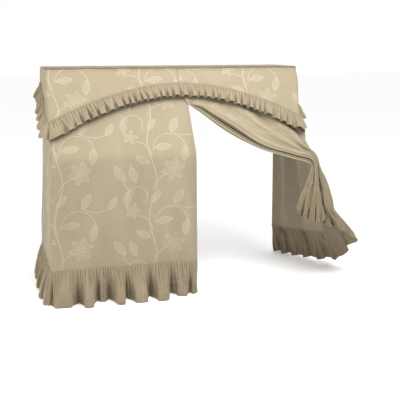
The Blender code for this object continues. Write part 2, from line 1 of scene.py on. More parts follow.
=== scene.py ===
"""Looks of the ruffled cloth cover for an upright piano.

Each sheet of cloth is drawn on the same folds as its solid, with finer gathers, hems, stitching and wrinkles, and in
a beige cloth with a woven scroll of vines in cream. Sizes are metres. The cloth is worked out from the floor (z = 0)
and the wall (y = 0), and then moved so that the origin is under the middle of the top panel.
"""
import math

import bpy
import numpy as np
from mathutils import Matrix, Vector


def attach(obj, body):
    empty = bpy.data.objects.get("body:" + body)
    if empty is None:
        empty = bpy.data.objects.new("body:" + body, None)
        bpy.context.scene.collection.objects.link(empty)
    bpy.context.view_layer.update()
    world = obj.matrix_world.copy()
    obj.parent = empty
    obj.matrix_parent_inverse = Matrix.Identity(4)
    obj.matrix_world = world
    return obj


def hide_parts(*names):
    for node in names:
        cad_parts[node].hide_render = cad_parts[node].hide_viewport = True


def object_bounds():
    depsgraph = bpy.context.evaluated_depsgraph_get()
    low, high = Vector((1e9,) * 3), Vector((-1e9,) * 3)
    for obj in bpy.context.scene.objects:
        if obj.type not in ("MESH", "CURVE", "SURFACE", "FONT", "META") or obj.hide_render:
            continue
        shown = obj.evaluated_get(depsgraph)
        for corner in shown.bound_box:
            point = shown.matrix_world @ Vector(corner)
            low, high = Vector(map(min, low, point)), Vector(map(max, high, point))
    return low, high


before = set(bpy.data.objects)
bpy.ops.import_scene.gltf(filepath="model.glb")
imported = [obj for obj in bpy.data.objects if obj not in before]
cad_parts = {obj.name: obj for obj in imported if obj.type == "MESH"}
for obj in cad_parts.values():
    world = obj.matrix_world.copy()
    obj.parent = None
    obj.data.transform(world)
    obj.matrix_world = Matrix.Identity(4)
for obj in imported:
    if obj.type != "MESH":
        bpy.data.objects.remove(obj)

CAD_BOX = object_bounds()

# The cover's sizes, as in its solids.
TOP_WIDTH = 1.53
TOP_DEPTH = 0.36
TOP_HEIGHT = 1.285
KEYBED_DEPTH = 0.634
KEYBED_HEIGHT = 0.80
SLOPE_SAG = 0.012
LEAN_START = 0.024
BEND_LENGTH = 0.09
SPREAD = 0.012
PULL = 0.050
CORNER_RADIUS = 0.020
RIM_RADIUS = 0.010
CLOTH = 0.002
SHOWN_CLOTH = 0.0016
VALANCE_OUT = 0.005
CURTAIN_IN = 0.0042
ARCH_MIDDLE = 0.112
ARCH_CORNER = 0.345
ARCH_POWER = 1.8
BACK_FLAP = 0.20
VALANCE_RUFFLE = 0.096
VALANCE_FLUTE = 0.045
VALANCE_FLUTE_DEPTH = 0.014
VALANCE_SIDE_FLUTE_DEPTH = 0.020
VALANCE_FLARE = 0.026
RUFFLE_HEADER = 0.009
RUFFLE_TUCK = 0.006
CORNER_DROP = 0.20
CORNER_DROP_REACH = 0.12
HEM_SEAM_HEIGHT = 0.190
FRONT_FLUTE_DEPTH = 0.050
FRONT_FLARE = 0.055
SIDE_FLUTE = 0.092
SIDE_FLUTE_DEPTH = 0.026
SIDE_FLARE = 0.034
TAIL_FLUTE = 0.055
TAIL_FLUTE_DEPTH = 0.015
FLOOR_CLEARANCE = 0.004
LEFT_CURTAIN_EDGE = 0.042
LEFT_LAP = -0.0012

# Flat sizes of the cloth pieces, and how far a curtain's side runs from the wall to the corner.
DRAPE_WIDTH = 0.711
SIDE_SPAN = 0.62
TOP_PATTERN = 1.357
SIDES = {-1: "left", 1: "right"}
PATTERN_SHIFT = 0.215

# Big flutes along the left hem, from the front corner to the opening and from the wall to the corner: width, crest.
LEFT_HEM_FLUTES = (
    (0.130, 0.50),
    (0.095, 0.90),
    (0.066, -0.30),
    (0.088, 1.15),
    (0.125, 1.05),
    (0.120, 1.20),
    (0.098, 0.25),
    (0.050, -0.45),
)
SIDE_HEM_FLUTES = ((0.085, 0.7), (0.100, 1.0), (0.075, 0.6), (0.095, 1.1), (0.070, 0.7), (0.100, 1.0), (0.080, 0.8))

# The right front curtain, drawn aside over the piano's right arm. These lines run down the cloth from the top seam
# to the hem seam, and a row is the same place on each. Each point is (x, z, how far in front of the front's profile).
FREE_EDGE = (
    (0.054, 1.276, -0.0042),
    (0.020, 1.108, 0.0035),
    (0.115, 1.018, 0.005),
    (0.258, 0.908, 0.007),
    (0.434, 0.815, 0.012),
    (0.600, 0.764, 0.025),
    (0.731, 0.718, 0.036),
    (0.706, 0.634, 0.042),
    (0.666, 0.552, 0.042),
)
UPPER_FOLD = (
    (0.300, 1.276, -0.0042),
    (0.120, 1.098, 0.001),
    (0.168, 1.056, 0.008),
    (0.312, 0.956, 0.012),
    (0.462, 0.850, 0.018),
    (0.626, 0.794, 0.030),
    (0.740, 0.752, 0.046),
    (0.752, 0.634, 0.070),
    (0.750, 0.545, 0.084),
)
ARM_CREASE = (
    (0.486, 1.276, -0.0042),
    (0.390, 1.150, -0.006),
    (0.415, 1.070, -0.004),
    (0.480, 0.990, 0.000),
    (0.590, 0.894, 0.004),
    (0.680, 0.818, 0.010),
    (0.758, 0.762, 0.024),
    (0.780, 0.628, 0.014),
    (0.816, 0.443, 0.006),
)
ARM_RIDGE = (
    (0.628, 1.276, -0.0042),
    (0.590, 1.180, -0.010),
    (0.595, 1.095, -0.010),
    (0.638, 1.000, -0.010),
    (0.696, 0.912, -0.012),
    (0.720, 0.832, -0.012),
    (0.775, 0.750, 0.000),
    (0.838, 0.618, 0.006),
    (0.898, 0.434, 0.010),
)
CORNER_SEAM = (
    (0.751, 1.276, -0.0090),
    (0.738, 1.185, -0.016),
    (0.724, 1.100, -0.026),
    (0.724, 1.000, -0.036),
    (0.752, 0.908, -0.050),
    (0.750, 0.840, -0.068),
    (0.779, 0.762, -0.098),
    (0.850, 0.590, -0.144),
    (0.938, 0.235, -0.196),
)
DRAPE_LINES = (FREE_EDGE, UPPER_FOLD, ARM_CREASE, ARM_RIDGE, CORNER_SEAM)
DRAPE_SHARES = (0.0, 0.36, 0.62, 0.82, 1.0)
DRAPE_ROWS = tuple(range(len(FREE_EDGE)))
LAST_ROW = DRAPE_ROWS[-1]
ARM_ROW = 6

# The right front curtain's ruffle: its hem at these shares of the way across, from the free edge to the corner seam.
DRAPE_HEM_SHARES = (0.0, 0.10, 0.20, 0.36, 0.62, 0.82, 1.0)
DRAPE_HEM = (
    (0.635, 0.455, 0.056),
    (0.650, 0.422, 0.078),
    (0.684, 0.402, 0.100),
    (0.742, 0.388, 0.118),
    (0.822, 0.352, 0.030),
    (1.012, 0.250, 0.050),
    (1.030, 0.045, -0.200),
)

# The rolls between the free edge and the upper fold, as (share of the way across, height), and their depth at each
# row. The groove between the two rolls is the deepest fold. Softer folds lie over the rest. All lean by FOLD_LEAN of
# their height towards the free edge.
ROLL_SHAPE = (
    (0.00, -0.3),
    (0.12, 0.9),
    (0.25, 0.5),
    (0.33, -0.1),
    (0.43, 0.5),
    (0.56, -1.2),
    (0.66, -0.3),
    (0.79, 1.0),
    (0.90, 0.1),
    (1.00, 0.5),
)
ROLL_DEPTH = (0.0, 0.002, 0.011, 0.017, 0.014, 0.011, 0.010, 0.011, 0.013)
BODY_FOLDS = 4
BODY_FOLD_DEPTH = (0.0, 0.002, 0.005, 0.009, 0.011, 0.010, 0.008, 0.014, 0.018)
FOLD_LEAN = 0.35

# The cloth's beige ground and its cream figure. The ruffles are the same cloth with little of the figure on show,
# painted darker: painted shade.
COVER_GROUND = (0.227, 0.190, 0.126)
COVER_FIGURE = (0.310, 0.268, 0.194)
SHADED_RUFFLE_GROUND = (0.200, 0.163, 0.106)
SHADED_RUFFLE_FIGURE = (0.252, 0.211, 0.146)

CORNER_LAP = 0.003
SEAM_GAP = 0.0006
SIDE_TOP = 0.0114
TURN = 2 * math.pi
PANEL_STEP = 0.008
RUFFLE_STEP = 0.0045
GATHER_STEP = 0.0022


def ease(low, high, value):
    t = np.clip((np.asarray(value, float) - low) / (high - low), 0.0, 1.0)
    return t * t * (3.0 - 2.0 * t)


def through(knots, values, at):
    """A smooth curve through values at knots, read at the places in at."""
    knots = np.asarray(knots, float)
    values = np.asarray(values, float)
    slopes = np.gradient(values, knots, axis=0)
    at = np.clip(at, knots[0], knots[-1])
    i = np.clip(np.searchsorted(knots, at, side="right") - 1, 0, len(knots) - 2)
    width = knots[i + 1] - knots[i]
    t = (at - knots[i]) / width
    shape = (...,) + (None,) * (values.ndim - 1)
    t, width = t[shape], width[shape]
    h01 = t * t * (3 - 2 * t)
    h10 = t * (1 - t) ** 2
    h11 = t * t * (t - 1)
    return (1 - h01) * values[i] + h01 * values[i + 1] + width * (h10 * slopes[i] + h11 * slopes[i + 1])


def unit(vectors):
    return vectors / np.maximum(np.linalg.norm(vectors, axis=-1, keepdims=True), 1e-12)


def ripple(u, v, size, seed, squash=1.0):
    """Gentle uneven waves about this size, from -1 to 1. squash below 1 draws them out along v."""
    rng = np.random.default_rng(seed)
    total = 0.0
    weight = 0.0
    for octave in range(3):
        for _ in range(4):
            turn = rng.uniform(0, TURN)
            rate = TURN / (size * rng.uniform(0.7, 1.5)) * 1.9**octave
            amount = 0.55**octave
            wave = u * math.cos(turn) + v * squash * math.sin(turn)
            total = total + amount * np.sin(rate * wave + rng.uniform(0, 6.28))
            weight += amount
    return total / (0.55 * weight)


def running(steps):
    """The sum so far, from 0."""
    return np.concatenate([[0], np.cumsum(steps)])


def steps_along(points, axis=0):
    return np.linalg.norm(np.diff(points, axis=axis), axis=-1)


# The front's profile and the walls.

SLOPE_LENGTH = math.hypot(KEYBED_DEPTH - TOP_DEPTH, TOP_HEIGHT - KEYBED_HEIGHT)
SLOPE_LEAN = math.asin((KEYBED_DEPTH - TOP_DEPTH) / (SLOPE_LENGTH - LEAN_START))
PROFILE_STEP = 0.002
PROFILE_AT = np.arange(0.0, SLOPE_LENGTH + KEYBED_HEIGHT, PROFILE_STEP)
PROFILE_LEAN = (
    SLOPE_LEAN
    * ease(0.5 * LEAN_START, 1.5 * LEAN_START, PROFILE_AT)
    * (1 - ease(SLOPE_LENGTH - BEND_LENGTH / 2, SLOPE_LENGTH + BEND_LENGTH / 2, PROFILE_AT))
)
PROFILE_SAG = SLOPE_SAG * np.sin(math.pi * np.clip(PROFILE_AT / SLOPE_LENGTH, 0, 1)) ** 2
PROFILE_Y = PROFILE_SAG - TOP_DEPTH - running(np.sin(PROFILE_LEAN[:-1])) * PROFILE_STEP
PROFILE_Z = TOP_HEIGHT - running(np.cos(PROFILE_LEAN[:-1])) * PROFILE_STEP
HEM_SEAM_AT = float(np.interp(-HEM_SEAM_HEIGHT, -PROFILE_Z, PROFILE_AT))
FRONT_LENGTH = TOP_WIDTH / 2 - CORNER_RADIUS + math.pi * CORNER_RADIUS / 4
HALF_TURN = math.pi * CORNER_RADIUS / 4


def profile(down):
    down = np.asarray(down, float)
    lean = np.interp(down, PROFILE_AT, PROFILE_LEAN)
    y = np.interp(down, PROFILE_AT, PROFILE_Y)
    z = np.interp(down, PROFILE_AT, PROFILE_Z)
    return y, z, -np.cos(lean), np.sin(lean)


def down_at(z):
    return np.interp(-np.asarray(z, float), -PROFILE_Z, PROFILE_AT)


def in_front(points):
    points = np.asarray(points, float)
    y = np.interp(-points[..., 1], -PROFILE_Z, PROFILE_Y) - points[..., 2]
    return np.stack([points[..., 0], y, points[..., 1]], axis=-1)


def round_corner(along):
    turn = np.clip(along, -HALF_TURN, HALF_TURN) / CORNER_RADIUS + math.pi / 4
    x = CORNER_RADIUS * (1 - np.cos(turn)) + np.maximum(along - HALF_TURN, 0.0)
    y = CORNER_RADIUS * (1 - np.sin(turn)) + np.maximum(-along - HALF_TURN, 0.0)
    return x, y, -np.cos(turn), -np.sin(turn)


def wall(hand, along, down, out=0.0):
    """Points and normals on the left (hand -1) or right half: along is from the front corner, down the cloth."""
    along, down, out = np.broadcast_arrays(np.asarray(along, float), np.asarray(down, float), np.asarray(out, float))
    front_y, z, lean_y, lean_z = profile(down)
    x, y, normal_x, normal_y = round_corner(along)
    front_share = np.abs(normal_y)
    normals = unit(np.stack([normal_x, lean_y * front_share, lean_z * front_share], axis=-1))
    if hand < 0:
        spread = SPREAD * ease(0.45, 1.15, down)
    else:
        spread = -PULL * ease(0.0, 0.45, down) * (1 - ease(0.0, 0.16, -along))
    spread = spread * (1 - np.clip(x / (TOP_WIDTH / 2), 0, 1))
    points = np.stack([-TOP_WIDTH / 2 + x - spread, front_y + y, z], axis=-1) + normals * out[..., None]
    points[..., 0] *= -hand
    normals[..., 0] *= -hand
    return points, normals


def side_length(down):
    return -profile(down)[0] - CORNER_RADIUS + HALF_TURN


def valance_drop(hand, along):
    front = (1 - np.clip(along / FRONT_LENGTH, 0, 1)) ** ARCH_POWER
    side = (1 - np.clip(-along / TOP_DEPTH, 0, 1)) ** ARCH_POWER
    share = np.where(np.asarray(along) > 0, front, side)
    return ARCH_MIDDLE + (ARCH_CORNER - ARCH_MIDDLE) * share


# Node graphs.


def set_inputs(node, values):
    for name, value in values.items():
        node.inputs[name].default_value = value


def arithmetic(operation):
    """A method of Value that adds one math node."""
    return lambda self, *others: self.math(operation, *others)


class Value:
    """A socket that arithmetic turns into nodes."""

    def __init__(self, tree, socket):
        self.tree, self.socket = tree, socket

    def math(self, operation, *others):
        node = self.tree.nodes.new("ShaderNodeMath")
        node.operation = operation
        for place, value in enumerate((self, *others)):
            if isinstance(value, Value):
                self.tree.links.new(value.socket, node.inputs[place])
            else:
                node.inputs[place].default_value = value
        return Value(self.tree, node.outputs[0])

    __add__ = arithmetic("ADD")
    __sub__ = arithmetic("SUBTRACT")
    __mul__ = arithmetic("MULTIPLY")
    __truediv__ = arithmetic("DIVIDE")
    abs = arithmetic("ABSOLUTE")
    sin = arithmetic("SINE")
    min = arithmetic("MINIMUM")
    max = arithmetic("MAXIMUM")

    def below(self, edge, soft):
        """1 where this is under edge, easing to 0 over soft."""
        node = self.tree.nodes.new("ShaderNodeMapRange")
        node.interpolation_type = "SMOOTHSTEP"
        self.tree.links.new(self.socket, node.inputs["Value"])
        set_inputs(node, {"From Min": edge - soft, "From Max": edge + soft, "To Min": 1.0, "To Max": 0.0})
        return Value(self.tree, node.outputs["Result"])


def vector_math(tree, operation, *inputs):
    node = tree.nodes.new("ShaderNodeVectorMath")
    node.operation = operation
    for place, value in enumerate(inputs):
        if isinstance(value, tuple):
            node.inputs[place].default_value = value
        else:
            tree.links.new(value, node.inputs[place])
    return node.outputs[0]


def split(tree, vector):
    node = tree.nodes.new("ShaderNodeSeparateXYZ")
    tree.links.new(vector, node.inputs[0])
    return [Value(tree, node.outputs[k]) for k in range(3)]


def joined(tree, *values):
    node = tree.nodes.new("ShaderNodeCombineXYZ")
    for place, value in enumerate(values):
        tree.links.new(value.socket, node.inputs[place])
    return node.outputs[0]


def attribute(tree, name):
    node = tree.nodes.new("ShaderNodeAttribute")
    node.attribute_name = name
    return node.outputs["Vector"]


def least(values):
    result = values[0]
    for value in values[1:]:
        result = result.min(value)
    return result


def new_group(name, inputs, outputs):
    tree = bpy.data.node_groups.new(name, "ShaderNodeTree")
    for label, kind in inputs:
        tree.interface.new_socket(label, in_out="INPUT", socket_type=kind)
    for label in outputs:
        tree.interface.new_socket(label, in_out="OUTPUT", socket_type="NodeSocketFloat")
    return tree, tree.nodes.new("NodeGroupInput"), tree.nodes.new("NodeGroupOutput")


# The woven scroll. One repeat is this wide and this high.
REPEAT_WIDE = 0.515
REPEAT_HIGH = 0.420
STEM_SWAY = 0.021
LINE_WIDTH = 0.0018

# Arcs in one repeat: x, y, radius, turn, sweep. Each is part of a circle about (x, y), centred on the direction turn
# and reaching sweep degrees each way.
ARCS = (
    (0.104, 0.420, 0.094, 85, 97),
    (0.205, 0.620, 0.118, -95, 38),
    (0.108, 0.168, 0.112, 133, 32),
    (-0.087, 0.578, 0.055, 72, 108),
    (-0.060, 0.700, 0.112, -141, 26),
    (-0.088, 0.385, 0.084, 45, 44),
)
# Leaves: x, y, turn, length, width.
LEAVES = (
    (0.066, 0.436, 8, 0.095, 0.038),
    (0.187, 0.392, 80, 0.095, 0.040),
    (0.146, 0.566, 62, 0.098, 0.042),
    (0.290, 0.547, 58, 0.082, 0.034),
    (-0.144, 0.570, 84, 0.082, 0.034),
    (-0.186, 0.710, 128, 0.100, 0.042),
    (-0.110, 0.702, 108, 0.092, 0.038),
    (-0.056, 0.362, 152, 0.084, 0.036),
    (0.016, 0.572, 52, 0.082, 0.034),
)
# Flowers: x, y, radius, petals, turn.
FLOWERS = ((0.117, 0.302, 0.064, 6, 14), (-0.113, 0.498, 0.044, 5, 0))


def leaf_group():
    """Distances from a leaf that lies along x: to its outline and midrib, and to its inside."""
    inputs = [("Place", "NodeSocketVector"), ("Length", "NodeSocketFloat"), ("Width", "NodeSocketFloat")]
    tree, start, end = new_group("leaf", inputs, ["Line", "Inside"])
    x, y, _ = split(tree, start.outputs["Place"])
    length = Value(tree, start.outputs["Length"])
    width = Value(tree, start.outputs["Width"])
    share = x / length * 2.0
    half = (share * share * -1.0 + 1.0) * width * 0.5
    across = y.abs()
    inside = across - half
    rib = across.max(half * -1.0)
    tree.links.new(inside.abs().min(rib * 1.3).socket, end.inputs["Line"])
    tree.links.new(inside.socket, end.inputs["Inside"])
    return tree


def scroll_group(leaf):
    """The vine: how much of a line (Line) and of a filled leaf or petal (Fill) there is at a place on the cloth."""
    tree, start, end = new_group("vine_scroll", [("Cloth", "NodeSocketVector")], ["Line", "Fill"])
    cloth = start.outputs["Cloth"]
    repeat = (REPEAT_WIDE / 2, REPEAT_HIGH / 2, 1000.0)
    opposite = tuple(-r for r in repeat)
    lines, insides = [], []

    def frame_at(x, y, turn):
        """Coordinates about a place in the repeat, turned so that x runs at this angle."""
        moved = vector_math(tree, "SUBTRACT", cloth, (x, y, 0.0))
        wrapped = vector_math(tree, "WRAP", moved, repeat, opposite)
        if not turn:
            return wrapped
        node = tree.nodes.new("ShaderNodeVectorRotate")
        node.rotation_type = "Z_AXIS"
        tree.links.new(wrapped, node.inputs["Vector"])
        node.inputs["Angle"].default_value = -math.radians(turn)
        return node.outputs[0]

    def add_leaf(place, length, width, filled=True):
        node = tree.nodes.new("ShaderNodeGroup")
        node.node_tree = leaf
        tree.links.new(place, node.inputs["Place"])
        set_inputs(node, {"Length": length, "Width": width})
        lines.append(Value(tree, node.outputs["Line"]))
        if filled:
            insides.append(Value(tree, node.outputs["Inside"]))

    def add_arc(x, y, radius, turn, sweep):
        px, py, _ = split(tree, frame_at(x, y, turn))
        off = (px * px + py * py).math("SQRT") - radius
        angle = py.math("ARCTAN2", px)
        beyond = (angle.abs() - math.radians(sweep)).max(0.0) * radius
        lines.append(off.abs().max(beyond))

    def add_flower(x, y, radius, petals, turn):
        px, py, _ = split(tree, frame_at(x, y, turn))
        away = (px * px + py * py).math("SQRT")
        step = TURN / petals
        folded = py.math("ARCTAN2", px).math("WRAP", step / 2, -step / 2)
        petal = joined(tree, away * folded.math("COSINE") - radius * 0.60, away * folded.sin())
        add_leaf(petal, radius * 0.80, radius * 0.42, filled=False)
        lines.append((away - radius * 0.13).abs())

    u, v, _ = split(tree, cloth)
    sway = ((v - 0.24) * (TURN / REPEAT_HIGH)).math("COSINE") * STEM_SWAY
    lines.append((u - sway).math("WRAP", REPEAT_WIDE / 2, -REPEAT_WIDE / 2).abs() * 0.80)
    for arc in ARCS:
        add_arc(*arc)
    for x, y, turn, length, width in LEAVES:
        add_leaf(frame_at(x, y, turn), length, width)
    for flower in FLOWERS:
        add_flower(*flower)
    tree.links.new(least(lines).below(LINE_WIDTH, 0.0020).socket, end.inputs["Line"])
    tree.links.new(least(insides).below(0.0, 0.003).socket, end.inputs["Fill"])
    return tree


def noise(tree, vector, scale, detail=2.0, rough=0.5):
    node = tree.nodes.new("ShaderNodeTexNoise")
    tree.links.new(vector, node.inputs["Vector"])
    set_inputs(node, {"Scale": scale, "Detail": detail, "Roughness": rough})
    return Value(tree, node.outputs["Fac"])


THREAD_PITCH = 0.0013
STITCH_PITCH = 0.0052
STITCH_LINE = 0.017


def cloth_material(name, ground, figure, contrast, scroll):
    """Beige cloth: a fine weave with slubs, the vine woven in, seams and stitches near the edges."""
    material = bpy.data.materials.new(name)
    material.use_nodes = True
    tree = material.node_tree
    shader = tree.nodes["Principled BSDF"]
    cloth = attribute(tree, "cloth")
    hem, seam, painted_shading = split(tree, attribute(tree, "edges"))
    u, v, face = split(tree, cloth)

    # The vine, with the slight unevenness of woven lines.
    wander = noise(tree, cloth, 60.0, 1.0)
    shift = joined(tree, (wander - 0.5) * 0.006, (wander - 0.5) * -0.005)
    flat = vector_math(tree, "MULTIPLY", cloth, (1.0, 1.0, 0.0))
    vine = tree.nodes.new("ShaderNodeGroup")
    vine.node_tree = scroll
    tree.links.new(vector_math(tree, "ADD", flat, shift), vine.inputs["Cloth"])
    line = Value(tree, vine.outputs["Line"])
    fill = Value(tree, vine.outputs["Fill"])
    hatch = ((u + v * 0.7) * 1400.0).sin() * 0.22 + 0.32
    woven = line.max(fill * hatch) * (face * 0.60 + 0.40) * contrast

    # Threads: a fine plain weave, and slubs drawn out along the warp and the weft.
    weft = (v * (TURN / THREAD_PITCH)).sin()
    warp = (u * (TURN / THREAD_PITCH)).sin()
    weave = warp * weft
    across = vector_math(tree, "MULTIPLY", cloth, (40.0, 900.0, 1.0))
    along = vector_math(tree, "MULTIPLY", cloth, (900.0, 40.0, 1.0))
    slubs = noise(tree, across, 1.0, 2.0, 0.6) * 0.5 + noise(tree, along, 1.0, 2.0, 0.6) * 0.5
    blotches = vector_math(tree, "MULTIPLY", cloth, (9.0, 3.5, 0.0))
    mottle = noise(tree, blotches, 1.0, 3.0, 0.55)

    # Seams: a stitch line near the hem, and the doubled cloth outside it.
    stitch_at = (hem - STITCH_LINE).abs().below(0.0009, 0.0005)
    dash = ((u + v) * (TURN / STITCH_PITCH)).sin() * -1.0
    stitches = stitch_at * dash.below(0.3, 0.3)
    doubled = hem.below(0.0185, 0.0012)

    light = (slubs - 0.5) * 0.20 + (mottle - 0.5) * 0.20 + 1.0
    light = light + weave * 0.03 - stitches * 0.20 + doubled * -0.02 - seam.below(0.002, 0.004) * 0.05
    # Painted light and shade: the painted shading darkens hidden folds and lightens some crests.
    light = light * (painted_shading * 0.6 + 0.4)
    mix = tree.nodes.new("ShaderNodeMix")
    mix.data_type = "RGBA"
    tree.links.new(woven.socket, mix.inputs["Factor"])
    set_inputs(mix, {"A": (*ground, 1.0), "B": (*figure, 1.0)})
    # Painted bounce light: where the painted shading darkens hidden folds, they are also painted a little warmer, as
    # light comes to them from the cloth beside them.
    tint = joined(tree, light, light * (painted_shading * 0.07 + 0.93), light * (painted_shading * 0.24 + 0.76))
    tree.links.new(vector_math(tree, "MULTIPLY", mix.outputs["Result"], tint), shader.inputs["Base Color"])

    rough = woven * -0.16 + 0.80
    tree.links.new(rough.socket, shader.inputs["Roughness"])
    set_inputs(shader, {"Metallic": 0.0, "IOR": 1.45, "Specular IOR Level": 0.35})
    set_inputs(shader, {"Sheen Weight": 0.14, "Sheen Roughness": 0.45, "Sheen Tint": (0.95, 0.88, 0.74, 1.0)})

    height = weave * 0.00006 + (slubs - 0.5) * 0.00030 + woven * 0.00035 + doubled * 0.0006 - stitches * 0.0005
    bump = tree.nodes.new("ShaderNodeBump")
    set_inputs(bump, {"Strength": 0.7, "Distance": 1.0})
    tree.links.new(height.socket, bump.inputs["Height"])
    tree.links.new(bump.outputs["Normal"], shader.inputs["Normal"])
    return material


SCROLL = scroll_group(leaf_group())
CLOTHS = {
    "cover_cloth": cloth_material("cover_cloth_woven", COVER_GROUND, COVER_FIGURE, 1.0, SCROLL),
    "ruffle_cloth": cloth_material("ruffle_cloth_woven_shaded", SHADED_RUFFLE_GROUND, SHADED_RUFFLE_FIGURE, 0.55, SCROLL),
}


# Sheets.


def new_object(name, data):
    thing = bpy.data.objects.new(name, data)
    bpy.context.scene.collection.objects.link(thing)
    return thing


def normals_of(grid):
    across = np.gradient(grid, axis=0)
    down = np.gradient(grid, axis=1)
    return unit(np.cross(across, down))


def with_close_edges(values):
    """The same grid with one more line of points just inside each edge, so that the cloth's edge looks crisp."""
    for _ in range(2):
        first = values[0] + 0.15 * (values[1] - values[0])
        last = values[-1] + 0.15 * (values[-2] - values[-1])
        values = np.concatenate([values[:1], first[None], values[1:-1], last[None], values[-1:]])
        values = values.swapaxes(0, 1)
    return values


ROW_ORIGIN = np.array([0.0, TOP_DEPTH / 2, -(TOP_HEIGHT - CLOTH)])


def add_layer(mesh, name, values):
    layer = mesh.attributes.new(name, "FLOAT_VECTOR", "POINT")
    layer.data.foreach_set("vector", values.astype(np.float32).ravel())


def add_piece(node, grid, outward, cloth, edges, slot, show=1.0):
    """A thin double sheet on a grid of points (across, down), standing for the solid of the node.

    cloth is the place on the flat cloth, for the pattern, and show is how clearly that is seen. edges is the distance
    to the nearest hem and to the gathered seam, and the painted shading: painted shade that darkens hidden folds a
    little, and on some pieces painted light on fold crests. The sheet is attached to the root."""
    name = f"{node}_cloth"
    edges = np.stack([np.broadcast_to(values, grid.shape[:2]).astype(float) for values in edges], axis=-1)
    grid, cloth, edges = [with_close_edges(values) for values in (grid, cloth, edges)]
    if (normals_of(grid) @ np.asarray(outward, float)).mean() < 0:
        grid, cloth, edges = grid[::-1], cloth[::-1], edges[::-1]
    normals = normals_of(grid)
    n, m = grid.shape[:2]
    grid = grid + ROW_ORIGIN
    outer = (grid + normals * SHOWN_CLOTH / 2).reshape(-1, 3)
    inner = (grid - normals * SHOWN_CLOTH / 2).reshape(-1, 3)
    index = np.arange(n * m).reshape(n, m)
    a, b, c, d = index[:-1, :-1], index[1:, :-1], index[1:, 1:], index[:-1, 1:]
    front = np.stack([a, b, c, d], axis=-1).reshape(-1, 4)
    back = np.stack([d, c, b, a], axis=-1).reshape(-1, 4) + n * m
    rim = np.concatenate([index[:, 0], index[-1, 1:], index[-2::-1, -1], index[0, -2:0:-1]])
    after = np.roll(rim, -1)
    edge = np.stack([after, rim, rim + n * m, after + n * m], axis=-1)
    faces = np.concatenate([front, back, edge])

    mesh = bpy.data.meshes.new(name)
    mesh.vertices.add(2 * n * m)
    mesh.vertices.foreach_set("co", np.concatenate([outer, inner]).astype(np.float32).ravel())
    mesh.loops.add(faces.size)
    mesh.loops.foreach_set("vertex_index", faces.astype(np.int32).ravel())
    mesh.polygons.add(len(faces))
    mesh.polygons.foreach_set("loop_start", np.arange(0, faces.size, 4, dtype=np.int32))
    mesh.update(calc_edges=True)
    mesh.validate()
    mesh.materials.append(CLOTHS[slot])
    mesh.shade_smooth()

    side = np.repeat([show, 0.0], n * m)
    add_layer(mesh, "cloth", np.column_stack([np.concatenate([cloth.reshape(-1, 2)] * 2), side]))
    add_layer(mesh, "edges", np.concatenate([edges.reshape(-1, 3)] * 2))

    # A flat layout of the two faces and the rim, none over another.
    i, j = np.meshgrid(np.linspace(0.004, 0.996, n), np.linspace(0, 1, m), indexing="ij")
    i, j = i.ravel(), j.ravel()
    layout = np.empty((len(faces), 4, 2))
    layout[: len(front)] = np.stack([i[front], 0.004 + 0.484 * j[front]], axis=-1)
    at = back - n * m
    layout[len(front) : 2 * len(front)] = np.stack([i[at], 0.494 + 0.484 * j[at]], axis=-1)
    turn = np.linspace(0.004, 0.996, len(edge) + 1)
    layout[2 * len(front) :, :, 0] = np.stack([turn[1:], turn[:-1], turn[:-1], turn[1:]], axis=-1)
    layout[2 * len(front) :, :, 1] = (0.984, 0.984, 0.996, 0.996)
    uv = mesh.uv_layers.new(name="OFBake")
    uv.uv.foreach_set("vector", layout.astype(np.float32).ravel())

    piece = new_object(name, mesh)
    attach(piece, "root")
    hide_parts(node)


def on_cloth(u, down):
    """Places on the flat cloth, for the pattern: across it, and up from the floor."""
    return np.stack(np.broadcast_arrays(u, SLOPE_LENGTH + KEYBED_HEIGHT - down), axis=-1)


def places(first, last, step):
    """Places along the cloth about step apart, closer on the rounded corner."""
    count = max(2, round((last - first) / step) + 1)
    corner = np.linspace(-HALF_TURN, HALF_TURN, 9)
    keep = np.concatenate([np.linspace(first, last, count), corner[(corner > first) & (corner < last)]])
    keep = np.unique(np.round(keep, 6))
    gaps = np.concatenate([[1.0], np.diff(keep)])
    return keep[gaps > 0.0012]


def flute_place(widths, at):
    """Which flute each of the places at (0 to 1) is in, and how far through it, as one number."""
    ends = running(widths) / np.sum(widths)
    return np.interp(at, ends, np.arange(len(ends)))


def uneven(count, seed, least=0.7, most=1.3):
    return np.random.default_rng(seed).uniform(least, most, count)


def uneven_flutes(length, pitch, seed):
    """Flutes of about this pitch as rows of (width, crest)."""
    chance = np.random.default_rng(seed)
    count = max(2, round(length / pitch))
    return [(chance.uniform(0.65, 1.35), chance.uniform(0.5, 1.3)) for _ in range(count)]


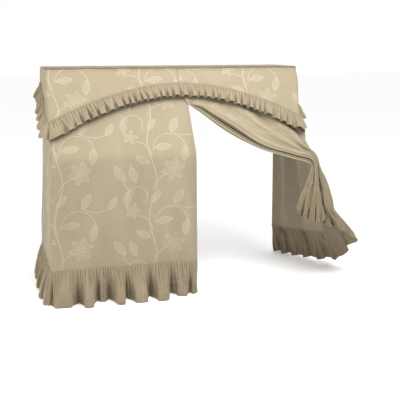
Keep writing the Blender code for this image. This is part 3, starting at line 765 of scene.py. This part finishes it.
def ruffle_grid(
    head, hem, out, flutes, depth, gathers, gather_depth, seed,
    header=0.0, puff=0.0, shade=1.0, crumple=0.0025, run=(0.35, 1.05), seat=-0.0022,
):
    """A gathered strip: fine gathers at its head run together into big flutes at its hem.

    head, hem and out give points and the outward direction for places 0 to 1 along it. flutes are rows of width and
    crest, depth is rows of place and depth, and run is how far down the shortest and the longest gather go. It starts
    a little above the seam: behind the cloth that it is sewn to, or over it where seat is above 0."""
    length = steps_along(head(np.linspace(0, 1, 80))).sum()
    height = float(np.linalg.norm(hem(np.array([0.5])) - head(np.array([0.5]))))
    a = np.linspace(0, 1, max(24, round(length / GATHER_STEP)))
    rows = max(8, round(height / RUFFLE_STEP))
    t = np.linspace(-max(RUFFLE_TUCK, header) / height, 1, rows + 1)
    along = (a * length)[:, None]
    drop = (t * height)[None, :]
    ends = ease(0.0, 0.02, np.minimum(a, 1 - a) * length)[:, None]
    begin = ease(-0.03, 0.06, t)[None, :]

    # The big flutes, boxy and each leaning its own way.
    widths, crests = np.asarray(flutes, float).T
    place = flute_place(widths, a)
    which = np.minimum(place.astype(int), len(widths) - 1)
    turn = TURN * place[:, None]
    lobes = (1 + crests[which][:, None]) * np.abs(np.sin(turn / 2)) ** 0.7 - 1
    depth = np.interp(a, *np.transpose(depth))[:, None]
    open_up = ease(-0.05, 0.9, t)[None, :]
    wide = (widths / widths.sum() * length)[which][:, None]
    skew = uneven(len(widths), seed + 5, -0.10, 0.10)[which][:, None]
    lean = open_up * wide * (0.095 * np.sin(2 * turn) + skew * np.sin(turn / 2) ** 2)

    # The fine gathers, each running down its own way.
    small = flute_place(uneven(gathers, seed, 0.45, 1.55), a)
    each = np.minimum(small.astype(int), gathers - 1)
    reach = uneven(gathers, seed + 7, *run)[each][:, None]
    tall = uneven(gathers, seed + 8, 0.4, 1.3)[each][:, None]
    fade = begin * (1 - ease(0.35, 1.0, t[None, :] / reach))
    pleats = np.abs(np.sin(math.pi * small))[:, None] ** 0.8 - 0.40

    swing = depth * open_up * lobes
    swing = swing + gather_depth * ends * (2 * tall * fade + (0.8 if header else 0.3) * (1 - begin)) * pleats
    swing = swing + puff * ends * np.sin(math.pi * np.clip(t, 0, 1))[None, :]
    swing = swing + crumple * ends * open_up * ripple(along, drop, 0.05, seed + 2)
    low, high = (0.0, 0.012) if seat > 0 else (-0.004, 0.003)
    swing = swing + seat * (1 - ease(low, high, drop))
    # A painted shade line along the gathered seam, where a ruffle has a header.
    painted_seam_shade = np.exp(-(((drop - 0.001) / 0.003) ** 2)) * (header > 0)
    lean = lean - 0.0022 * fade * np.sin(TURN * small)[:, None]
    top, bottom, outwards = head(a), hem(a), out(a)
    tangent = unit(np.gradient(top, axis=0))
    lift = 0.008 * ends * open_up**2 * (0.5 + 0.5 * ripple(along, 0.0, 0.13, seed + 3))
    grid = top[:, None] + (bottom - top)[:, None] * t[None, :, None]
    grid = grid + outwards[:, None] * swing[..., None] + tangent[:, None] * (lean * ends)[..., None]
    grid[..., 2] += lift
    # Painted shade: the flutes' and gathers' hollows painted darker, and the whole strip darker by shade.
    hollow = lobes * open_up + 1.7 * (pleats - 0.15) * fade + 0.4 * (1 - open_up)
    painted_shading = shade * (0.25 + 0.75 * ease(-0.95, 0.15, hollow)) * (1 - 0.3 * painted_seam_shade)
    across = running(steps_along(grid[:, -1]))
    cloth = np.stack(np.broadcast_arrays(across[:, None], -drop), axis=-1)
    edges = ((1 - t[None, :]) * height, np.abs(drop), painted_shading)
    spread = steps_along(grid).sum(axis=0)
    return grid, cloth, edges, float(spread.mean()), height


def make_top():
    corner_steps = 10
    insets = np.concatenate([np.linspace(0.170, 0.020, 12), [0.014, 0.010]])
    turns = np.linspace(math.pi / 2, 0, 8)
    rings = [(inset, TOP_HEIGHT) for inset in insets]
    rings += [(RIM_RADIUS * (1 - math.cos(t)), TOP_HEIGHT - RIM_RADIUS * (1 - math.sin(t))) for t in turns[1:]]
    rings += [(0.0, TOP_HEIGHT - RIM_RADIUS - 0.0015)]
    loops = []
    for inset, z in rings:
        radius = max(CORNER_RADIUS - inset, 0.004)
        half = TOP_WIDTH / 2 - inset
        corners = (
            (half - radius, -inset - radius, 0.0),
            (-half + radius, -inset - radius, 0.5 * math.pi),
            (-half + radius, -TOP_DEPTH + inset + radius, math.pi),
            (half - radius, -TOP_DEPTH + inset + radius, 1.5 * math.pi),
        )
        outline = []
        for k, (x, y, start) in enumerate(corners):
            arc = start + np.linspace(0, math.pi / 2, corner_steps)
            outline.append(np.column_stack([x + radius * np.cos(arc), y + radius * np.sin(arc)]))
            x2, y2, start2 = corners[(k + 1) % 4]
            end = outline[-1][-1]
            following = np.array([x2 + radius * math.cos(start2), y2 + radius * math.sin(start2)])
            count = 60 if k % 2 == 0 else 14
            share = np.linspace(0, 1, count + 2)[1:-1, None]
            outline.append(end + (following - end) * share)
        outline = np.concatenate(outline)
        loops.append(np.column_stack([outline, np.full(len(outline), z)]))
    grid = np.array(loops)
    flat_part = ease(TOP_HEIGHT - 0.004, TOP_HEIGHT, grid[..., 2])
    grid[..., 2] -= 0.0012 * flat_part * (0.5 + 0.5 * ripple(grid[..., 0], grid[..., 1], 0.22, 3))
    grid = grid + ROW_ORIGIN
    count = grid.shape[1]
    faces = []
    for k in range(len(rings) - 1):
        for i in range(count):
            j = (i + 1) % count
            faces.append((k * count + i, k * count + j, (k + 1) * count + j, (k + 1) * count + i)[::-1])
    faces.append(tuple(range(count)))
    mesh = bpy.data.meshes.new("top_panel_cloth")
    mesh.from_pydata([tuple(p) for p in grid.reshape(-1, 3)], [], faces)
    mesh.validate()
    mesh.materials.append(CLOTHS["cover_cloth"])
    mesh.shade_smooth()
    points = grid.reshape(-1, 3)
    depth = np.repeat([r[0] for r in rings], count)
    z_drop = (TOP_HEIGHT - np.repeat([r[1] for r in rings], count)) * 1.5
    ones = np.ones(len(points))
    v = points[:, 1] + TOP_PATTERN + TOP_DEPTH / 2 - z_drop
    add_layer(mesh, "cloth", np.column_stack([points[:, 0] + PATTERN_SHIFT, v, ones]))
    # The top panel's painted shading: painted shade over the whole top, darkest near its rim.
    add_layer(mesh, "edges", np.column_stack([ones, depth + 0.010, 0.1 + 0.3 * ease(0.0, 0.10, depth)]))
    piece = new_object("top_panel_cloth", mesh)
    solid = piece.modifiers.new("thickness", "SOLIDIFY")
    solid.thickness = SHOWN_CLOTH
    solid.offset = -1.0
    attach(piece, "root")
    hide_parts("top_panel")


def outward_of(part, hand):
    return (0, -1, 0) if part == "front" else (hand, 0, 0)


def make_valance(hand, part):
    side = SIDES[hand]
    if part == "front":
        along = places(0.0, FRONT_LENGTH - SEAM_GAP, PANEL_STEP)
    else:
        along = places(-side_length(0.0) + 0.001, CORNER_LAP, PANEL_STEP)
    drop = valance_drop(hand, along)[:, None]
    share = np.linspace(0, 1, 34)[None, :] ** 1.1
    top = RIM_RADIUS + SEAM_GAP
    down = top + share * (drop - top)
    below = drop - down
    out = -CLOTH / 2 + VALANCE_OUT * ease(0.0, 0.10, down) + 0.0007 * ease(0.030, 0.012, down)
    pucker = 0.0016 * np.cos(TURN * flute_place(uneven(26, 7 + hand), np.linspace(0, 1, len(along))))[:, None]
    out = out + pucker * ease(0.05, 0.0, below)
    if part == "side":
        out = out - under_corner(along)[:, None]
    easy = ease(0.02, 0.12, down) * ease(0.0, 0.05, np.abs(along))[:, None]
    out = out + 0.0036 * easy * ripple(along[:, None], down, 0.20, 31 + hand)
    if part == "front":
        middle = FRONT_LENGTH - along[:, None]
        out = out - 0.0025 * np.exp(-((middle / 0.006) ** 2))
        out = out + 0.0012 * np.exp(-((middle / 0.03) ** 2)) * np.sin(down * TURN / 0.028)
    grid, _ = wall(hand, along[:, None], down, out)
    if hand < 0:
        u = along - TOP_WIDTH / 2 + PATTERN_SHIFT
    else:
        u = (along + 0.18) * (-1 if part == "front" else 1)
    seam = np.minimum(down - top, 1.0)
    if part == "front":
        seam = np.minimum(seam, FRONT_LENGTH - along[:, None])
    edges = (below + 0.004, seam, 1.0)
    add_piece(
        f"valance_{part}_{side}", grid, outward_of(part, hand), on_cloth(u[:, None], down), edges, "cover_cloth",
    )


def make_valance_ruffle(hand, part, seed):
    side = SIDES[hand]
    if part == "front":
        first, last = 0.0, FRONT_LENGTH - SEAM_GAP
    else:
        first, last = -side_length(0.0) + 0.004, 0.0

    def place(a, below, off):
        along = first + (last - first) * a
        drop = valance_drop(hand, along)
        tilt = 0.6 * np.arctan(np.gradient(drop, along)) if len(along) > 1 else np.zeros(len(along))
        below = below * (1 + CORNER_DROP * np.exp(-np.abs(along) / CORNER_DROP_REACH))
        sideways = np.sin(tilt) * below * ease(0.0, 0.06, np.minimum(along - first, last - along))
        return wall(hand, along - sideways, drop + np.cos(tilt) * below, VALANCE_OUT - CLOTH / 2 + off)

    flutes = uneven_flutes(last - first, VALANCE_FLUTE, seed)
    depth = VALANCE_FLUTE_DEPTH if part == "front" else VALANCE_SIDE_FLUTE_DEPTH
    grid, cloth, edges, wide, high = ruffle_grid(
        lambda a: place(a, 0.0, 0.0)[0],
        lambda a: place(a, VALANCE_RUFFLE, VALANCE_FLARE)[0],
        lambda a: place(a, 0.0, 0.0)[1],
        flutes, ((0, depth), (1, depth)), 3 * len(flutes), 0.0050, seed, RUFFLE_HEADER,
        run=(0.7, 1.8), seat=0.0038,
    )
    add_piece(
        f"valance_ruffle_{part}_{side}", grid, outward_of(part, hand), cloth + [0.1 * seed, 0.9], edges,
        "ruffle_cloth",
    )


def add_hem_ruffle(hand, part, strip, place):
    """One curtain's hem ruffle, from what ruffle_grid gives and its place on the cloth's pattern."""
    side = SIDES[hand]
    grid, cloth, edges, wide, high = strip
    add_piece(
        f"hem_ruffle_{part}_{side}", grid, outward_of(part, hand), cloth + place, edges, "ruffle_cloth",
    )


def left_front_ripple(x, down):
    grow = ease(0.15, HEM_SEAM_AT, down)
    waves = 0.0045 * np.sin(TURN * x / 0.33 + 0.6) + 0.0030 * np.sin(TURN * x / 0.19 + 2.0)
    edge_fold = 0.012 * np.exp(-(((x - LEFT_CURTAIN_EDGE + 0.045) / 0.045) ** 2))
    return grow * (waves + edge_fold)


def left_side_out(share, down):
    grow = ease(0.30, HEM_SEAM_AT, down)
    back = 0.006 * (1 - share)
    return -CURTAIN_IN + grow * (0.004 + back + 0.006 * np.sin(TURN * share * 2.2 + 0.4) ** 2)


def left_front_out(along, down):
    """The left front curtain's folds, which meet the side curtain's at the corner."""
    out = 0.004 * ease(0.35, 0.60, down) - CURTAIN_IN
    corner = left_side_out(1.0, down) - out - left_front_ripple(round_corner(0.0)[0] - TOP_WIDTH / 2, down)
    ripples = left_front_ripple(round_corner(along)[0] - TOP_WIDTH / 2, down)
    return out + ripples + corner * ease(0.06, 0.0, along)


def gathers_above(position, down, count, seed):
    """Small puckers that the gathered ruffle pulls into the cloth just above the hem seam."""
    reach = 0.05 + 0.05 * uneven(count, seed + 1, 0.0, 1.0)
    place = flute_place(uneven(count, seed), position)
    reach = np.interp(place, np.arange(count) + 0.5, reach)
    pull = ease(HEM_SEAM_AT - reach, HEM_SEAM_AT, down)
    return 0.0024 * pull * np.cos(TURN * place)


def make_left_front():
    last = FRONT_LENGTH + LEFT_CURTAIN_EDGE
    along = places(0.0, last, PANEL_STEP)[:, None]
    rows = round(HEM_SEAM_AT / PANEL_STEP)
    down = np.concatenate([[0.009, 0.016, 0.024], np.linspace(0.032, HEM_SEAM_AT, rows)])[None, :]
    out = left_front_out(along, down)
    free = ease(0.30, 0.55, down) * ease(0.0, 0.08, along) * ease(0.0, 0.16, HEM_SEAM_AT - down)
    folds = free * (ripple(along, down, 0.28, 51, 0.30) + 0.3 * ripple(along, down, 0.09, 52, 0.30))
    out = out + 0.0060 * folds
    out = out - 0.0018 * np.exp(-(((down - SLOPE_LENGTH - 0.030) / 0.016) ** 2)) * ease(0.0, 0.1, along)
    out = out + gathers_above(along / last, down, 30, 22)
    grid, _ = wall(-1, along, down, out)
    cloth = on_cloth(-TOP_WIDTH / 2 + along + PATTERN_SHIFT, down)
    hem = last - along
    seam = np.minimum(HEM_SEAM_AT - down, along * 2.0)
    # Painted light and shade: the fold crests a little lighter and the hollows a little darker.
    edges = (hem, seam, 1.0 + 0.12 * folds)
    add_piece(
        "curtain_front_left", grid, (0, -1, 0), cloth, edges, "cover_cloth",
    )


def under_corner(along):
    """How far a side piece's front edge goes in under the front piece, where the corner seam joins them."""
    return 0.0012 * ease(-0.004, 0.0005, along)


def make_left_side():
    rows = round(HEM_SEAM_AT / PANEL_STEP)
    down = np.linspace(SIDE_TOP, HEM_SEAM_AT, rows)[None, :]
    length = side_length(down)
    unit_places = 1 + places(-SIDE_SPAN, 0.0, PANEL_STEP) / SIDE_SPAN
    near = 1 - np.linspace(0, 1.5, 8) * HALF_TURN / 0.6
    share = np.unique(np.round(np.concatenate([unit_places, near, [1 + CORNER_LAP / 0.6]]), 5))[:, None]
    along = -length * (1 - share)
    out = left_side_out(share, down) - under_corner(along)
    free = ease(0.25, 0.55, down) * ease(0.0, 0.08, -along) * ease(0.0, 0.16, HEM_SEAM_AT - down)
    out = out + 0.0040 * free * ripple(along, down, 0.28, 61, 0.35)
    out = out + gathers_above(share, down, 22, 24)
    grid, _ = wall(-1, along, down, out)
    cloth = on_cloth(along + 0.10, down)
    hem = along + length
    seam = np.minimum(HEM_SEAM_AT - down, -along * 2.0)
    edges = (hem, seam, 1.0)
    add_piece(
        "curtain_side_left", grid, (-1, 0, 0), cloth, edges, "cover_cloth",
    )


def make_left_hem(part, seed):
    if part == "front":
        first, last = 0.0, FRONT_LENGTH + LEFT_CURTAIN_EDGE
        flutes, flare = LEFT_HEM_FLUTES, FRONT_FLARE
        depth = ((0, FRONT_FLUTE_DEPTH), (1, FRONT_FLUTE_DEPTH))
    else:
        first, last = -side_length(HEM_SEAM_AT), 0.0
        flutes, flare = SIDE_HEM_FLUTES, SIDE_FLARE
        depth = ((0, SIDE_FLUTE_DEPTH), (0.9, SIDE_FLUTE_DEPTH), (1, SIDE_FLARE - FRONT_FLARE + FRONT_FLUTE_DEPTH))

    def head(a):
        along = first + (last - first) * a
        share = 1 + along / side_length(HEM_SEAM_AT)
        off = np.where(along > 0, left_front_out(along, HEM_SEAM_AT), left_side_out(share, HEM_SEAM_AT))
        return wall(-1, along, HEM_SEAM_AT, off)[0]

    def out(a):
        along = first + (last - first) * a
        turn = math.pi / 4 + np.clip(along / 0.12, -1, 1) * math.pi / 4
        return np.stack([-np.cos(turn), -np.sin(turn), np.zeros_like(turn)], axis=-1)

    def hem(a):
        points = head(a)
        points = points + out(a) * flare
        points[..., 2] = FLOOR_CLEARANCE
        return points

    gathers = 62 if part == "front" else 44
    # shade paints these ruffles a little darker: painted shade.
    strip = ruffle_grid(
        head, hem, out, flutes, depth, gathers, 0.0062, seed, puff=0.005, shade=0.86, run=(0.4, 1.3)
    )
    add_hem_ruffle(-1, part, strip, [0.05 * seed, 0.2])


def drape_base(share, row):
    """The drawn curtain's middle surface without its folds."""
    lines = [through(DRAPE_ROWS, in_front(line), row) for line in DRAPE_LINES]
    return through(DRAPE_SHARES, lines, share)


def drape_folds(share, row):
    """The folds' height: tight rolls beside the free edge, and softer ones over the rest."""
    roll = through(DRAPE_ROWS, ROLL_DEPTH, row)[None, :]
    body = through(DRAPE_ROWS, BODY_FOLD_DEPTH, row)[None, :]
    edge = DRAPE_SHARES[1]
    places, heights = np.array(ROLL_SHAPE).T
    rolled = through(places, heights, share / edge)[:, None]
    beyond = np.clip((share - edge) / (1 - edge), 0, 1)[:, None]
    rest = np.sin(TURN * BODY_FOLDS * beyond + 0.5) * np.sin(math.pi * beyond) ** 0.5
    near = 1 - ease(0.0, 0.06, beyond)
    return roll * rolled * near + body * rest * (1 - near)


def tucked(grid):
    """The grid held between the valance with its ruffle and, at the middle, the left curtain."""
    down = down_at(grid[..., 2])
    below = down - valance_drop(1, TOP_WIDTH / 2 - grid[..., 0])
    room = -CURTAIN_IN + VALANCE_OUT * ease(0.0, 0.10, down)
    room = room + 0.011 * ease(0.0, VALANCE_RUFFLE, below) + 0.1 * ease(VALANCE_RUFFLE, 0.2, below)
    over_left = ease(LEFT_CURTAIN_EDGE + 0.020, LEFT_CURTAIN_EDGE + 0.008, grid[..., 0])
    least = over_left * (LEFT_LAP + 0.02) - 0.02
    front = np.interp(down, PROFILE_AT, PROFILE_Y)
    standing = np.clip(front - grid[..., 1], np.where(over_left > 0, least, -1.0), room)
    grid[..., 1] = front - standing
    return grid


def drape_grid(share, row):
    base = drape_base(share, row)
    normals = normals_of(base)
    if normals[..., 1].mean() > 0:
        normals = -normals
    across = unit(np.gradient(base, axis=0))
    folds = drape_folds(share, row)
    s, r = share[:, None], row[None, :]
    body = ease(0.34, 0.42, s)
    soft = 0.0048 * ease(1.0, 3.0, r) * body * ripple(s * 0.8, r * 0.14, 0.12, 72, 0.3)
    tense = 0.0028 * ease(1.0, 2.5, r) * body * ripple(s * 0.8, r * 0.14, 0.05, 73, 0.12)
    crumple = 0.0042 * ease(ARM_ROW + 0.1, ARM_ROW + 1.0, r) * ripple(s * 0.9, r * 0.11, 0.042, 74, 0.6)
    height = (folds + (soft + tense + crumple) * ease(1.0, 0.95, s))[..., None]
    return tucked(base + normals * height - across * FOLD_LEAN * folds[..., None])


def drape_cloth(grid, share):
    steps = steps_along(grid, 1)
    down = np.concatenate([np.zeros((len(grid), 1)), np.cumsum(steps, axis=1)], axis=1)
    down = down * HEM_SEAM_AT / down[:, -1:]
    return on_cloth((0.054 + DRAPE_WIDTH * share)[:, None] + 0.06, down)


def drape_places():
    edge = DRAPE_SHARES[1]
    return np.concatenate([np.linspace(0, edge, 84, endpoint=False), np.linspace(edge, 1, 96)])


def make_right_front():
    share = drape_places()
    row = np.concatenate([[0.0, 0.04, 0.09, 0.15], np.linspace(0.2, LAST_ROW, 170)])
    grid = drape_grid(share, row)
    hem = share[:, None] * DRAPE_WIDTH
    seam = np.minimum((LAST_ROW - row)[None, :] * 0.14, (1 - share)[:, None] * 1.2)
    # Painted shading: darker in the deepest fold grooves, soft bands of painted light and shade, and painted shade
    # over the tail below the arm.
    painted_shading = np.clip(1.0 + 25 * np.minimum(drape_folds(share, row) + 0.006, 0.0), 0.75, 1.0)
    painted_shading = painted_shading + 0.10 * ripple(share[:, None] * 0.8, row[None, :] * 0.14, 0.10, 75, 0.3)
    painted_shading = painted_shading * (1 - 0.35 * ease(ARM_ROW - 0.2, ARM_ROW + 0.8, row))[None, :]
    edges = (hem, seam, painted_shading)
    add_piece(
        "curtain_front_right", grid, (0, -1, 0), drape_cloth(grid, share), edges, "cover_cloth",
        show=0.3,
    )


def outward_along(hem, hand):
    """Level directions square to a hem line, at places 0 to 1 along it: to its right (hand 1) or its left."""

    def out(a):
        fine = np.linspace(0, 1, 60)
        tangent = unit(np.gradient(hem(fine), axis=0))
        outward = np.stack([hand * tangent[:, 1], -hand * tangent[:, 0], np.zeros(len(tangent))], axis=-1)
        return unit(np.stack([np.interp(a, fine, outward[:, k]) for k in range(3)], axis=-1))

    return out


def make_right_front_hem(seed):
    share = drape_places()
    seam = drape_grid(share, np.linspace(LAST_ROW - 0.2, LAST_ROW, 6))[:, -1]

    def head(a):
        return through(share, seam, a)

    def hem(a):
        return through(DRAPE_HEM_SHARES, in_front(DRAPE_HEM), a)

    flutes = uneven_flutes(0.55, TAIL_FLUTE, seed)
    depth = ((0, TAIL_FLUTE_DEPTH), (0.5, TAIL_FLUTE_DEPTH), (0.65, 0.024), (0.94, 0.024), (1, 0))
    # shade paints the tail's ruffle darker: painted shade under the arm.
    strip = ruffle_grid(
        head, hem, outward_along(hem, 1), flutes, depth, 40, 0.0064, seed,
        puff=0.008, shade=0.66, crumple=0.006, run=(0.5, 1.6),
    )
    add_hem_ruffle(1, "front", strip, [0.4, 0.2])


def right_side_grid(share, row):
    """The right side curtain: from its straight back edge (share 0) to the corner seam (share 1)."""
    seam = through(DRAPE_ROWS, in_front(CORNER_SEAM), np.linspace(0, LAST_ROW, 200))
    reached = running(steps_along(seam))
    down = np.interp(row, np.linspace(0, LAST_ROW, 200), reached / reached[-1])
    front = through(DRAPE_ROWS, in_front(CORNER_SEAM), row) - np.array([[0, 0, 0.0024]])
    height = (TOP_HEIGHT - SIDE_TOP) * (1 - down) + HEM_SEAM_HEIGHT * down
    back = np.stack([np.full_like(height, TOP_WIDTH / 2 - CURTAIN_IN), np.full_like(height, -0.001), height], axis=-1)
    free = ease(ARM_ROW - 1.5, ARM_ROW + 0.5, row)[None, :]
    sideways = free * share[:, None] ** 1.3 + (1 - free) * ease(0.70, 1.0, share)[:, None]
    forwards = np.broadcast_to(share[:, None], sideways.shape)
    grid = back[None] + (front - back)[None] * np.stack([sideways, forwards, forwards**1.3], axis=-1)
    grow = ease(ARM_ROW - 3.0, LAST_ROW, row)[None, :]
    waves = 0.020 * np.sin(TURN * share * 2.5 - 0.3)[:, None] * np.sin(math.pi * share)[:, None]
    grid[..., 0] += grow * (waves + 0.018 * np.sin(math.pi * share)[:, None])
    grid[..., 1] += 0.0016 * share[:, None]
    s, r = share[:, None], row[None, :]
    loose = ease(ARM_ROW - 3.5, ARM_ROW, r) * np.sin(math.pi * s)
    grid[..., 0] += 0.0025 * loose * ripple(s * 0.6, r * 0.15, 0.16, 81, 0.4)
    return grid


def make_right_side():
    share = np.linspace(0, 1, 80)
    row = np.linspace(0, LAST_ROW, 140)
    grid = right_side_grid(share, row)
    down = steps_along(grid[40])
    down = running(down) / down.sum() * HEM_SEAM_AT
    cloth = on_cloth(share[:, None] * SIDE_SPAN + 0.2, down[None, :])
    hem = share[:, None] * SIDE_SPAN
    seam = np.minimum((HEM_SEAM_AT - down)[None, :], (1 - share)[:, None])
    edges = (hem, seam, 1.0)
    add_piece(
        "curtain_side_right", grid, (1, 0, 0), cloth, edges, "cover_cloth",
    )


def make_right_side_hem(seed):
    share = np.linspace(0, 1, 80)
    seam = right_side_grid(share, np.array([LAST_ROW - 0.1, LAST_ROW]))[:, -1]
    corner_hem = in_front(DRAPE_HEM)[-1]

    def head(a):
        return through(share, seam, a)

    def hem(a):
        back = np.array([TOP_WIDTH / 2 + SIDE_FLARE, -0.004, FLOOR_CLEARANCE])
        return back + (corner_hem + [0, 0.0008, 0] - back) * np.stack([a**1.3, a, a**1.8], axis=-1)

    flutes = uneven_flutes(0.50, SIDE_FLUTE, seed)
    depth = ((0, SIDE_FLUTE_DEPTH), (0.9, SIDE_FLUTE_DEPTH), (1, 0))
    # shade paints this ruffle a little darker: painted shade.
    strip = ruffle_grid(
        head, hem, outward_along(hem, -1), flutes, depth, 36, 0.0052, seed, puff=0.006, shade=0.86, run=(0.4, 1.3)
    )
    add_hem_ruffle(1, "side", strip, [0.7, 0.2])


def make_back_flap():
    x = np.linspace(-TOP_WIDTH / 2 + CORNER_RADIUS, TOP_WIDTH / 2 - CORNER_RADIUS, 120)
    z = np.linspace(TOP_HEIGHT - RIM_RADIUS - SEAM_GAP, TOP_HEIGHT - BACK_FLAP, 26)
    xs, zs = np.meshgrid(x, z, indexing="ij")
    fall = (TOP_HEIGHT - zs) / BACK_FLAP
    y = -CLOTH / 2 - 0.0015 - 0.003 * fall * (1 + np.sin(TURN * xs / 0.37))
    y = y + 0.001 * fall * ripple(xs, zs, 0.15, 91)
    cloth = np.stack([-xs, zs], axis=-1)
    hem = np.minimum(zs - z[-1], np.minimum(xs - x[0], x[-1] - xs))
    edges = (hem, z[0] - zs, 1.0)
    add_piece(
        "back_flap", np.stack([xs, y, zs], axis=-1), (0, 1, 0), cloth, edges, "cover_cloth",
    )


make_top()
make_back_flap()
for hand in (-1, 1):
    for part in ("front", "side"):
        make_valance(hand, part)
        make_valance_ruffle(hand, part, 11 + hand + (5 if part == "side" else 0))
make_left_front()
make_left_side()
make_left_hem("front", 21)
make_left_hem("side", 22)
make_right_front()
make_right_front_hem(23)
make_right_side()
make_right_side_hem(24)


# Studio: a pale floor, soft lights and the camera.

FLOOR_Z = CAD_BOX[0][2] - 0.001
FLOOR_REACH = 30.0
LENS = 64.4
CAMERA_SHIFT = -0.125
CAMERA_PLACE = (-1.0592, -4.4635, 1.4002)
CAMERA_DOWN = 0.143
CAMERA_TURN = -0.2846

mesh = bpy.data.meshes.new("studio_floor")
corners = [(x * FLOOR_REACH, y * FLOOR_REACH, FLOOR_Z) for x, y in ((-1, -1), (1, -1), (1, 1), (-1, 1))]
mesh.from_pydata(corners, [], [(0, 1, 2, 3)])
floor = new_object("studio_floor", mesh)
paint = bpy.data.materials.new("studio_floor_paint")
paint.use_nodes = True
pale = {"Base Color": (0.97, 0.97, 0.97, 1.0), "Roughness": 0.95, "Specular IOR Level": 0.1}
set_inputs(paint.node_tree.nodes["Principled BSDF"], pale)
mesh.materials.append(paint)

world = bpy.data.worlds.new("studio")
world.use_nodes = True
set_inputs(world.node_tree.nodes["Background"], {"Color": (1.0, 1.0, 1.0, 1.0), "Strength": 1.0})
bpy.context.scene.world = world


def area_light(name, place, aim, size, power, colour):
    data = bpy.data.lights.new(name, "AREA")
    data.shape = "RECTANGLE"
    data.size, data.size_y = size
    data.energy = power
    data.color = colour
    lamp = new_object(name, data)
    lamp.location = place
    lamp.rotation_euler = (Vector(aim) - Vector(place)).to_track_quat("-Z", "Y").to_euler()


area_light("key", (0.2, -1.6, 1.3), (0.0, -0.3, -0.3), (2.0, 1.2), 88.0, (1.0, 0.99, 1.0))
area_light("left", (-3.0, -1.0, 0.3), (-0.7, -0.3, -0.5), (1.2, 1.2), 34.0, (1.0, 0.94, 0.82))

camera = bpy.data.cameras.new("camera")
camera.sensor_width = 36.0
camera.lens = LENS
camera.shift_y = CAMERA_SHIFT
viewer = new_object("camera", camera)
viewer.location = Vector(CAMERA_PLACE) + Vector(ROW_ORIGIN)
viewer.rotation_euler = (math.pi / 2 - CAMERA_DOWN, 0.0, CAMERA_TURN)
bpy.context.scene.camera = viewer
bpy.context.scene.view_settings.view_transform = "Standard"
